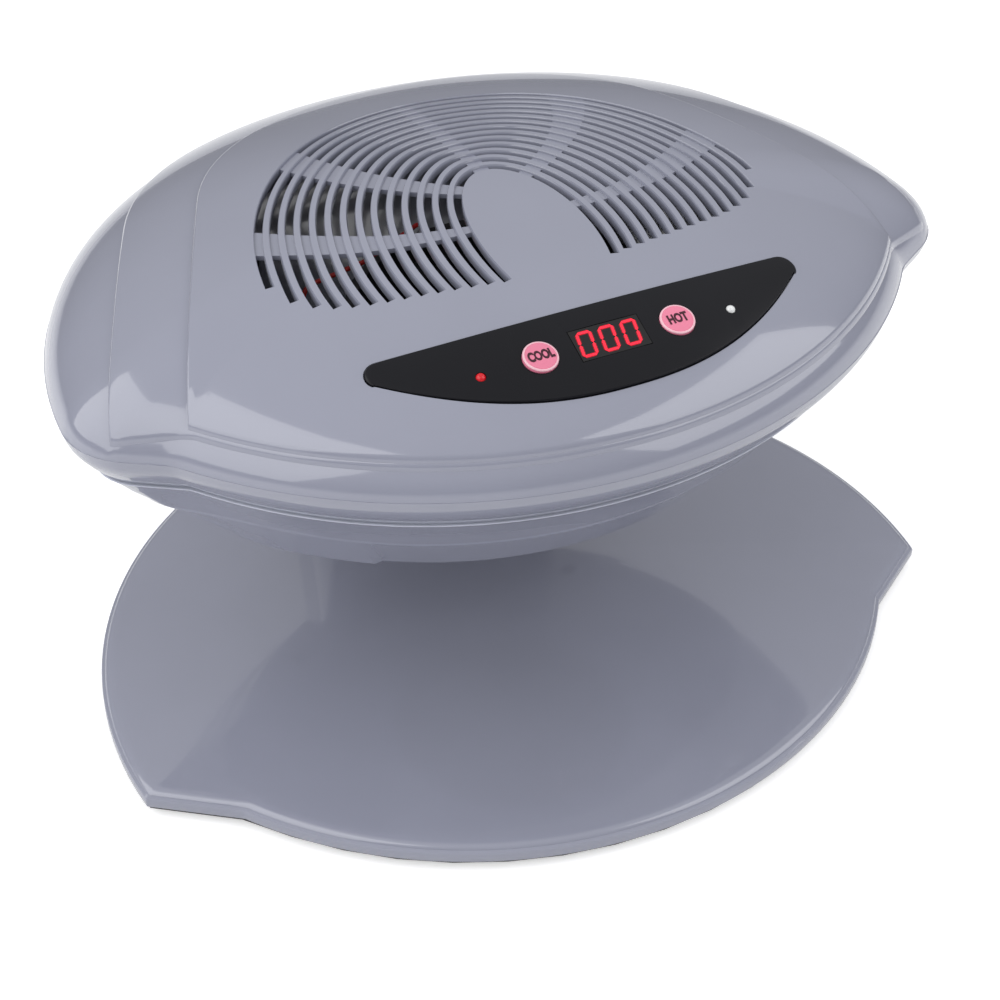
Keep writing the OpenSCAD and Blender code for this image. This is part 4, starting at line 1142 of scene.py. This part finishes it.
@dataclass
class LowerShell:
    """Bowl under the seam, with the air outlet and the screw wells in its floor.

    Its levels are insets and heights, from the floor's edge up to the seam, and so are the seam
    bead's corners.
    """

    belly: float = 82.0
    wall: float = 2.9
    outlet_r: float = 47.0
    fan_c: float = 5.0
    levels: tuple[tuple[float, float], ...] = (
        (38.5, 82.0), (32.0, 90.7), (25.2, 99.9), (24.9, 100.6), (24.3, 101.0), (23.4, 101.2),
        (22.9, 101.6), (22.6, 102.4), (17.9, 109.4), (13.4, 115.4), (9.6, 120.2), (9.5, 120.7))
    lining: tuple[tuple[float, float], ...] = (
        (35.0, 84.6), (26.5, 96.0), (20.0, 106.0), (9.6, 120.9))
    bead: tuple[tuple[float, float], ...] = (
        (10.2, 120.35), (9.1, 120.3), (8.75, 120.5), (8.7, 120.75), (8.9, 120.95), (10.2, 120.95))
    floor: float = 2.5
    wells: tuple[tuple[float, float], ...] = ((70.0, -22.0), (62.0, 78.0))
    well_r: float = 3.3

    def build(self, register: Register) -> None:
        """Builds the bowl and adds it."""
        a = directions(HEAD_PLAN, HEAD_CORNERS)
        edge = HEAD_PLAN.edge(a, self.levels[0][0])
        side = rounded(np.array(self.levels), 1, 0.15)
        outer = [HEAD_PLAN.ring(a, inset, z) for inset, z in side[::-1]]
        outer += [HEAD_PLAN.at(a, edge * s, self.belly) for s in (0.985, 0.6, 0.2)]
        inner = [HEAD_PLAN.at(a, edge * s, self.belly + self.floor) for s in (0.2, 0.6, 0.94)]
        inner += [HEAD_PLAN.ring(a, inset + self.wall, z) for inset, z in self.lining]
        skin = closed_shell("lower_skin", outer, inner)
        low, high = self.belly - 2.0, self.belly + 8.0
        cuts = [prism("outlet", circle(self.outlet_r, 96) + [0.0, self.fan_c + PLAN_Y], low, high)]
        for x, y in self.wells:
            for flip in (1, -1):
                cuts.append(prism("well", circle(self.well_r, 32) + [flip * x, y + PLAN_Y], low, high))
        skin = carved(skin, merged(cuts, "floor_cuts"))
        smooth(skin, 22)
        register.add("lower_shell_bowl", skin, SHELL, stands_for=["lower_shell"])
        bead = [HEAD_PLAN.ring(a, inset, z) for inset, z in self.bead]
        line = outward(lofted("bead", bead, joined=True))
        smooth(line, 60)
        # The bead's pale finish is a painted highlight along the seam, not a colour of its own.
        register.add("seam_bead_painted_highlight", line, SEAM_PAINTED_HIGHLIGHT)


@dataclass
class Base:
    """Hand rest with its edge band and the raised pad that the neck stands on."""

    band_low: float = 4.3
    band_top: float = 8.3
    rest: float = 10.1
    rise: float = 4.5
    pad_z: float = 17.0
    wall: float = 2.4
    neck_x: float = 53.6
    neck_d: float = 45.2
    neck_mid: float = 85.0
    neck_r: float = 14.0

    def build(self, register: Register) -> None:
        """Builds the hand rest and adds it."""
        a = directions(BASE_PLAN, BASE_CORNERS)
        edge = BASE_PLAN.edge(a, 5.0)
        profile = [(0.5, self.band_low), (0.15, self.band_low + 0.15), (0.0, self.band_low + 0.5),
                   (0.0, self.band_top - 0.8), (0.25, self.band_top - 0.25), (0.9, self.band_top),
                   (1.25, self.band_top + 0.12), (1.5, self.band_top + 0.6), (2.2, self.rest - 0.6),
                   (3.2, self.rest - 0.2), (5.0, self.rest)]
        outer = [BASE_PLAN.ring(a, inset, z) for inset, z in profile]
        outer += [BASE_PLAN.at(a, edge * s, self.top(s)) for s in np.linspace(1.0, 0.0, 22)[1:-1]]
        inner = [BASE_PLAN.at(a, edge * s, self.top(s) - self.wall) for s in (0.1, 0.5, 0.8)]
        inner += [BASE_PLAN.ring(a, inset, z) for inset, z in (
            (5.0 + self.wall, self.rest - self.wall), (self.wall, self.band_top - 1.8),
            (self.wall, self.band_low))]
        skin = closed_shell("rest", outer, inner)
        smooth(skin, 32)
        pad = self.pad()
        register.add("base_top_rest", merged([skin, pad], "rest_and_pad"), SHELL, stands_for=["base_top"])

    def top(self, share: float) -> float:
        """Height of the rest at a share of the way out from its highest point."""
        return self.rest + self.rise * (1 - share * share)

    def pad(self) -> bpy.types.Mesh:
        """Pad under the neck, with a soft foot where it meets the rest."""
        foot = ((3.2, self.rest + 1.0), (3.0, 13.2), (1.8, 14.0), (0.7, 15.0), (0.2, 16.2))
        edge = ((0.0, self.pad_z - 0.5), (-0.15, self.pad_z - 0.15), (-0.5, self.pad_z))
        mesh = lofted("pad", [self.outline(grow, z) for grow, z in foot + edge])
        smooth(mesh, 40)
        return mesh

    def outline(self, grow: float, z: float) -> np.ndarray:
        """Rounded rectangle of the pad at height z."""
        r = self.neck_r + grow
        x, y = self.neck_x + grow - r, 0.5 * self.neck_d + grow - r
        middle = self.neck_mid + PLAN_Y
        points = []
        for (i, j), start in (((1, -1), -90), ((1, 1), 0), ((-1, 1), 90), ((-1, -1), 180)):
            for t in np.radians(np.linspace(start, start + 90, 13)):
                points.append((i * x + r * math.cos(t), middle + j * y + r * math.sin(t), z))
        return np.array(points)


# ---------------------------------------------------------------- control panel


@dataclass
class ControlPanel:
    """Leaf-shaped black panel, its two buttons, their words and the lit figures.

    A key is the name of its button, its body, its side of the middle, its word and the word's width.
    """

    frame: PanelFrame = field(default_factory=PanelFrame)
    crown: float = 0.35
    proud: float = 0.9
    digit_h: float = 8.2
    digit_w: float = 4.2
    digit_pitch: float = 7.2
    digit_shift: float = -0.3
    lean: float = 0.14
    stem_r: float = 2.2
    stem: float = 8.0
    flange: float = 1.2
    flange_gap: float = 0.85
    cap_sides: int = 96
    word_h: float = 4.4
    keys: tuple[tuple, ...] = (("cool_button", Body.COOL_KEY, -1.0, "COOL", 8.1),
                               ("hot_button", Body.HOT_KEY, 1.0, "HOT", 6.4))

    def build(self, register: Register) -> None:
        """Builds the panel's pieces and adds them."""
        place = self.frame.matrix()
        slab = self.frame.slab("leaf", 0.0, self.frame.thick, 0.0, 0.45)
        holes = self.frame.holes(self.frame.button_r + self.frame.gap, -12.0, self.cap_sides)
        slab = carved(outward(slab), holes)
        smooth(slab, 25)
        slab.transform(place)
        register.add("control_panel_leaf", slab, PANEL, stands_for=["control_panel"])
        for name, body, side, word, wide in self.keys:
            cap = self.cap()
            shift = place @ Matrix.Translation((side * self.frame.button_x * MM, 0.0, 0.0))
            cap.transform(shift)
            register.add(name + "_cap", cap, None, body, [name])
            letters = self.word(word, wide)
            letters.transform(shift)
            register.add(name + "_word", letters, LETTERS, body)
        for name, thick, high, finish, stands_for in (
                ("display_halo", 0.7, 0.03, HALO, []),
                ("display_figures", 0.38, 0.1, LIT, ["display_digits"])):
            figures = self.figures(thick, high)
            figures.transform(place)
            register.add(name, figures, finish, stands_for=stands_for)

    def key_face(self) -> float:
        """Height of the panel's face at a button, in the panel's own frame."""
        return self.frame.proud - float(self.frame.sag(self.frame.button_x))

    def cap(self) -> bpy.types.Mesh:
        """Button: stem, flange, side and crowned top with a paler rim."""
        r = self.frame.button_r
        under = self.key_face() - self.frame.thick - self.flange_gap
        top = self.key_face() + self.proud
        profile = [(self.stem_r, -self.stem), (self.stem_r, under - self.flange),
                   (r + self.flange, under - self.flange), (r + self.flange, under), (r, under),
                   (r, top - 0.4), (r - 0.1, top - 0.12), (r - 0.3, top), (r - 0.6, top + 0.03),
                   (r - 0.66, top - 0.06), (r - 0.74, top - 0.06), (r - 0.82, top + 0.04)]
        rim_from, rim_to = 5 * self.cap_sides, 9 * self.cap_sides
        inner, height = profile[-1]
        for s in (0.85, 0.65, 0.45, 0.25, 0.1):
            profile.append((inner * s, height + self.crown * (1 - s * s) * 0.5))
        mesh = turned("button", profile, self.cap_sides)
        smooth(mesh, 40)
        for finish in (BUTTON, BUTTON_RING):
            mesh.materials.append(finish.material())
        for face in mesh.polygons:
            if rim_from <= face.index < rim_to:
                face.material_index = 1
        return mesh

    def word(self, text: str, wide: float) -> bpy.types.Mesh:
        """A button's word as a thin raised mesh in the panel's frame, about the button's axis."""
        curve = bpy.data.curves.new("word", "FONT")
        curve.body = text
        curve.align_x, curve.align_y = "CENTER", "CENTER"
        curve.size = 1.0
        curve.offset = 0.05
        curve.extrude = 0.02
        holder = bpy.data.objects.new("word_holder", curve)
        bpy.context.scene.collection.objects.link(holder)
        mesh = evaluated(holder)
        bpy.data.objects.remove(holder)
        xs = [v.co.x for v in mesh.vertices]
        size = (wide * MM / (max(xs) - min(xs)), self.word_h * MM, 2.0 * MM, 1.0)
        top = self.key_face() + self.proud + 0.2
        mesh.transform(Matrix.Translation((0.0, 0.0, top * MM)) @ Matrix.Diagonal(size))
        return mesh

    def figures(self, thick: float, high: float) -> bpy.types.Mesh:
        """Three zeros of seven-segment bars.

        Args:
            thick: half the width of a bar.
            high: height over the window.

        Returns:
            The bars in the panel's own frame.
        """
        bars = []
        x, y = 0.5 * self.digit_w, 0.5 * self.digit_h
        ends = [((-x, -y), (x, -y)), ((-x, y), (x, y)), ((-x, 0), (-x, y)), ((x, 0), (x, y)),
                ((-x, -y), (-x, 0)), ((x, -y), (x, 0))]
        for k in (-1, 0, 1):
            for p, q in ends:
                p, q = np.array(p, float), np.array(q, float)
                n = (q - p) / np.linalg.norm(q - p)
                s = np.array([n[1], -n[0]]) * thick
                e = n * (thick + 0.08 - max(0.0, thick - 0.5))
                tip = n * 0.05
                outline = np.array([p + tip, p + e + s, q - e + s, q - tip, q - e - s, p + e - s])
                outline[:, 0] += self.lean * outline[:, 1] + k * self.digit_pitch + self.digit_shift
                bars.append(outward(prism("bar", outline, 0.0, 0.1 + high)))
        return merged(bars, "figures")


# ---------------------------------------------------------------- air path


@dataclass
class AirPath:
    """Fan wheel, outlet slats and heater wire."""

    fan_c: float = 5.0
    hub_low: float = 115.3
    hub_top: float = 136.3
    hub_r: float = 18.5
    blade_r: float = 49.3
    blades: int = 7
    pitch: float = 38.0
    heater_z: float = 96.5
    belly: float = 82.0
    outlet_r: float = 47.0
    slats: int = 17
    slat_pitch: float = 5.0
    slat_reach: float = 45.0
    bar_x: float = 12.0
    bar_half: float = 1.2
    bar_reach: float = 44.6
    coils: tuple[tuple[float, int], ...] = ((20.0, 34), (32.0, 54), (44.0, 75))
    coil_r: float = 1.1
    heater_wire_r: float = 0.38
    links: tuple[tuple[float, float], ...] = ((14.1, 22.6), (22.6, 31.1))
    link_r: float = 0.7

    def build(self, register: Register) -> None:
        """Builds the pieces and adds them."""
        self.fan(register)
        self.outlet(register)
        self.heater(register)

    def centre(self, z: float = 0.0) -> Matrix:
        """The fan's axis, at height z."""
        return Matrix.Translation(Vector((0.0, self.fan_c + PLAN_Y, z)) * MM)

    def fan(self, register: Register) -> None:
        """Hub with rounded shoulder, and twisted blades copied round it."""
        r, low, top = self.hub_r, self.hub_low, self.hub_top
        hub = turned("hub", [(r - 1.5, low), (r, low), (r, top - 2.0), (r - 0.6, top - 0.6),
                             (r - 2.0, top), (2.0, top - 0.02)], 96)
        well = turned("well", [(r - 1.5, low - 1.0), (r - 1.5, top - 2.0)], 96)
        boss = turned("boss", [(3.5, top - 6.0), (3.5, top - 1.5)], 48)
        hub = carved(hub, well)
        smooth(hub, 35)
        blade = self.blade()
        blades = ring_tree().run(blade, BLACK, Count=self.blades)
        wheel = merged([hub, boss, blades], "wheel")
        wheel.transform(self.centre())
        register.add("fan_wheel", wheel, BLACK, Body.FAN, ["fan_impeller"])

    def blade(self) -> bpy.types.Mesh:
        """One cambered blade, steeper at its root than at its tip."""
        rings = []
        half = 0.5 * (self.hub_top - self.hub_low) - 0.6
        middle = 0.5 * (self.hub_top + self.hub_low)
        for s in np.linspace(0.0, 1.0, 9):
            out = self.hub_r - 0.7 + (self.blade_r - self.hub_r + 0.7) * s
            angle = math.radians(self.pitch + 10.0 - 16.0 * s)
            chord = min(2 * half / math.sin(angle), 17.0 + 9.0 * s)
            t = np.linspace(-0.5, 0.5, 9)
            camber = 1.6 * (1 - (2 * t) ** 2)
            thick = 0.75 * np.sqrt(np.clip(1 - (2 * t) ** 2, 0.05, 1.0))
            upper = np.c_[t * chord, camber + thick]
            lower = np.c_[t * chord, camber - thick][::-1]
            flat = np.concatenate([upper, lower])
            along = flat[:, 0] * math.cos(angle) - flat[:, 1] * math.sin(angle)
            up = flat[:, 0] * math.sin(angle) + flat[:, 1] * math.cos(angle)
            turn = along / out
            rings.append(np.c_[out * np.cos(turn), out * np.sin(turn), middle + up])
        mesh = outward(lofted("blade", rings))
        smooth(mesh, 50)
        return mesh

    def outlet(self, register: Register) -> None:
        """Outlet grille: a ring, two cross bars and slats."""
        slat = outward(lofted("slat", [np.array([(x, y, z) for y, z in (
            (-0.95, 0.1), (-0.5, -0.15), (0.5, -0.15), (0.95, 0.1), (0.95, 3.1), (-0.95, 3.1))])
            for x in (-1000.0, 1000.0)]))
        slats = slat_tree().run(slat, GRILLE, Count=self.slats, Pitch=self.slat_pitch * MM,
                                Radius=self.slat_reach * MM)
        low = self.belly + 0.6
        rim = ring_band("rim", self.outlet_r, low)
        w, d = self.bar_half, self.bar_reach
        bars = [outward(prism("bar", np.array([(x - w, -d), (x + w, -d), (x + w, d), (x - w, d)]),
                              low + 0.3, low + 3.0)) for x in (-self.bar_x, self.bar_x)]
        slats.transform(Matrix.Translation((0.0, 0.0, low * MM)))
        grille = merged([slats, rim] + bars, "grille")
        grille.transform(self.centre())
        register.add("outlet_slats", grille, GRILLE, stands_for=["outlet_grille"])

    def heater(self, register: Register) -> None:
        """Three rings of coiled resistance wire, and the links between them."""
        tree = coil_tree()
        rings = [tree.run(None, HEATER, Turns=float(turns), Steps=turns * 10 + 1,
                          Ring_Radius=radius * MM, Coil_Radius=self.coil_r * MM,
                          Wire_Radius=self.heater_wire_r * MM) for radius, turns in self.coils]
        for low, high in self.links:
            route = route_mesh([(low, low, 0.0), (high, high, 0.0)])
            rings.append(WIRES.run(route, HEATER, Bend_Radius=0.0, Wire_Radius=self.link_r * MM))
        coil = merged(rings, "coil")
        smooth(coil, 60)
        coil.transform(self.centre(self.heater_z))
        register.add("heater_coils", coil, HEATER, stands_for=["heater_coil"])


def ring_band(name: str, r: float, low: float) -> bpy.types.Mesh:
    """Outlet ring with its flange, as one closed band."""
    profile = [(r - 3.0, low + 0.3), (r - 2.7, low), (r - 0.5, low), (r - 0.2, low + 0.3),
               (r - 0.2, low + 1.9), (r + 4.7, low + 1.9), (r + 4.7, low + 3.5), (r - 3.0, low + 3.5)]
    a = np.linspace(0.0, 2 * math.pi, 120, endpoint=False)
    rings = [np.c_[q * np.cos(a), q * np.sin(a), np.full(120, z)] for q, z in profile]
    mesh = outward(lofted(name, rings, joined=True))
    smooth(mesh, 40)
    return mesh


# ---------------------------------------------------------------- wiring


def route_mesh(points: Sequence[tuple[float, float, float]]) -> bpy.types.Mesh:
    """A line of edges through the points, for a wire to follow."""
    made = bpy.data.meshes.new("route")
    made.from_pydata([tuple(c * MM for c in p) for p in points],
                     [(i, i + 1) for i in range(len(points) - 1)], [])
    return made


WIRES = wire_tree()


@dataclass
class Wiring:
    """Wires from the power board to what they feed. Routes are measured from the head's centre."""

    board: float = 111.6
    wire_r: float = 0.8
    lead_r: float = 1.1
    bend_r: float = 5.0

    def routes(self) -> dict[str, tuple[Finish, float, list[list[tuple[float, float, float]]]]]:
        """Finish, radius and routes of each group of wires, by node name."""
        top = self.board
        leads = [[(i * 1.9, 103.0, 26.0), (i * 1.9, 88.0, 26.0), (i * 3, 84.0, 36.0), (i * 3, 84.0, 88.0),
                  (-20 + i * 3, 70.0 + i, 106.0), (-70 + i * 3, 56.0, 116.0), (-76 + i * 3, 43.0, 117.6),
                  (-76 + i * 3, 43.0, top)] for i in (-1, 1)]
        return {
            "red_wires": (RED_WIRE, self.wire_r, [
                [(-62.5, 14, top), (-62.5, 14, 128), (-58, 6, 139.5), (-40, -8, 141), (-30, -30, 144),
                 (-26, -46, 147)],
                [(-62.5, 32, top), (-62.5, 32, 126), (-59, 40, 139.5), (-36, 44, 141), (-8, 62, 139),
                 (-6, 66, 124), (-6, 66, 84.5)]]),
            "green_wire": (GREEN_WIRE, self.wire_r, [
                [(-62.5, 22, top), (-62.5, 22, 130), (-57, 22, 141), (-44, 10, 143), (-34, -20, 145),
                 (-18, -44, 148)]]),
            "yellow_wires": (YELLOW_WIRE, self.wire_r, [
                [(-62.5, 4, top), (-62.5, 4, 127), (-58, -6, 139.5), (-50, -24, 141.5), (-34, -43, 147)],
                [(-62.5, 0, top), (-62.5, 0, 114.5), (-58.6, -2.5, 114), (-58, -9, 107), (-57.5, -18, 103),
                 (-57.5, -18, 90)]]),
            "mains_leads": (BLACK, self.lead_r, leads),
        }

    def build(self, register: Register) -> None:
        """Builds the wires and adds them."""
        for node, (finish, radius, routes) in self.routes().items():
            made = []
            for route in routes:
                line = route_mesh([(x, y + PLAN_Y, z) for x, y, z in route])
                made.append(WIRES.run(line, finish, Bend_Radius=self.bend_r * MM,
                                      Wire_Radius=radius * MM))
            mesh = merged(made, node)
            smooth(mesh, 50)
            register.add(node + "_round", mesh, finish, stands_for=[node])


# ---------------------------------------------------------------- studio


@dataclass
class Studio:
    """Pale floor, soft lamps and the camera at the photograph's angle."""

    camera_at: tuple[float, float, float] = (-0.24775, -0.52646, 0.50868)
    azimuth: float = 25.3704
    elevation: float = 38.4798
    lens: float = 76.3
    sensor: float = 36.0
    aim: tuple[float, float, float] = (0.0, -0.02, 0.14)
    floor_half: float = 4000.0

    def camera(self) -> None:
        """Sets the camera."""
        lens = bpy.data.cameras.new("camera")
        lens.lens = self.lens
        lens.sensor_width = self.sensor
        lens.clip_end = 50.0
        view = bpy.data.objects.new("camera", lens)
        view.location = self.camera_at
        view.rotation_euler = (math.radians(90 - self.elevation), 0.0, math.radians(-self.azimuth))
        bpy.context.scene.collection.objects.link(view)
        bpy.context.scene.camera = view

    def softbox(self, name: str, azimuth: float, elevation: float, away: float,
                size: tuple[float, float], bright: float) -> None:
        """Adds a rectangular lamp that looks at the middle of the head.

        Args:
            name: the lamp's name.
            azimuth: its direction from +Y, clockwise from above, in degrees.
            elevation: its height over the horizon, in degrees.
            away: its distance, in metres.
            size: its width and height, in metres.
            bright: how bright its face is, where 1 is white.
        """
        lamp = bpy.data.lights.new(name, "AREA")
        lamp.shape = "RECTANGLE"
        lamp.size, lamp.size_y = size
        lamp.energy = bright * math.pi * size[0] * size[1]
        holder = bpy.data.objects.new(name, lamp)
        a, e = math.radians(azimuth), math.radians(elevation)
        way = Vector((math.sin(a) * math.cos(e), math.cos(a) * math.cos(e), math.sin(e)))
        holder.location = Vector(self.aim) + away * way
        holder.rotation_euler = (-way).to_track_quat("-Z", "Y").to_euler()
        bpy.context.scene.collection.objects.link(holder)

    def white_world(self) -> None:
        """World that is brighter overhead, and looks white to the camera."""
        world = bpy.data.worlds.new("studio")
        world.use_nodes = True
        world.node_tree.nodes.clear()
        graph = Graph(world.node_tree)
        path = graph.node("ShaderNodeLightPath")
        seen = Link(graph, path.outputs["Is Camera Ray"])
        way = graph.add("ShaderNodeTexCoord", None, None, "Generated")
        high = graph.add("ShaderNodeSeparateXYZ", None, {0: way}, "Z").between(-0.1, 1.0)
        soft = graph.add("ShaderNodeBackground", None,
                         {"Color": (0.95, 0.96, 1.0, 1.0), "Strength": 0.2 + 0.62 * high})
        white = graph.add("ShaderNodeBackground", None,
                          {"Color": (1.0, 1.0, 1.0, 1.0), "Strength": 1.0})
        both = graph.add("ShaderNodeMixShader", None, {0: seen, 1: soft, 2: white})
        graph.node("ShaderNodeOutputWorld", None, {"Surface": both})
        bpy.context.scene.world = world

    def floor(self) -> None:
        """Adds a pale floor that keeps the object's shadow."""
        w = self.floor_half
        corners = np.array([(-w, -w, 0), (w, -w, 0), (w, w, 0), (-w, w, 0)])
        mesh = mesh_from("floor", corners, [[0, 1, 2, 3]])
        finish = bpy.data.materials.new("floor_white")
        finish.use_nodes = True
        finish.node_tree.nodes.clear()
        graph = Graph(finish.node_tree)
        plain = graph.add("ShaderNodeBsdfDiffuse", None, {"Color": (0.9, 0.9, 0.9, 1.0)})
        glow = graph.add("ShaderNodeEmission", None, {"Color": (1.0, 1.0, 1.0, 1.0), "Strength": 0.45})
        path = graph.node("ShaderNodeLightPath")
        seen = Link(graph, path.outputs["Is Camera Ray"])
        shown = graph.add("ShaderNodeAddShader", None, {0: plain, 1: glow})
        both = graph.add("ShaderNodeMixShader", None, {0: seen, 1: plain, 2: shown})
        graph.node("ShaderNodeOutputMaterial", None, {"Surface": both})
        mesh.materials.append(finish)
        new_object("floor", mesh)

    def build(self) -> None:
        """Sets the whole studio."""
        self.camera()
        self.white_world()
        self.floor()
        self.softbox("left_softbox", -90.0, 34.0, 1.3, (2.0, 1.4), 1.6)
        self.softbox("right_softbox", 128.0, 32.0, 1.3, (1.35, 1.0), 1.6)
        bpy.context.scene.view_settings.view_transform = "Standard"


# ---------------------------------------------------------------- main


def dress_kept(nodes: dict[str, bpy.types.Object]) -> None:
    """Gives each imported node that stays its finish.

    Args:
        nodes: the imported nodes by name.
    """
    for name, finish in KEPT_NODES.items():
        for slot in nodes[name].material_slots:
            slot.material = finish.material()


def main() -> None:
    """Builds the pieces in order and reports them."""
    logging.basicConfig(level=logging.INFO, format="%(name)s %(message)s")
    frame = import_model()
    register = Register()
    Studio().build()
    dress_kept(frame["nodes"])
    for part in (UpperShell(), LowerShell(), Base(), ControlPanel(), AirPath(), Wiring()):
        part.build(register)
    LOG.info("%d pieces: %s", len(register.names), ", ".join(register.names))


if __name__ == "__main__":
    main()
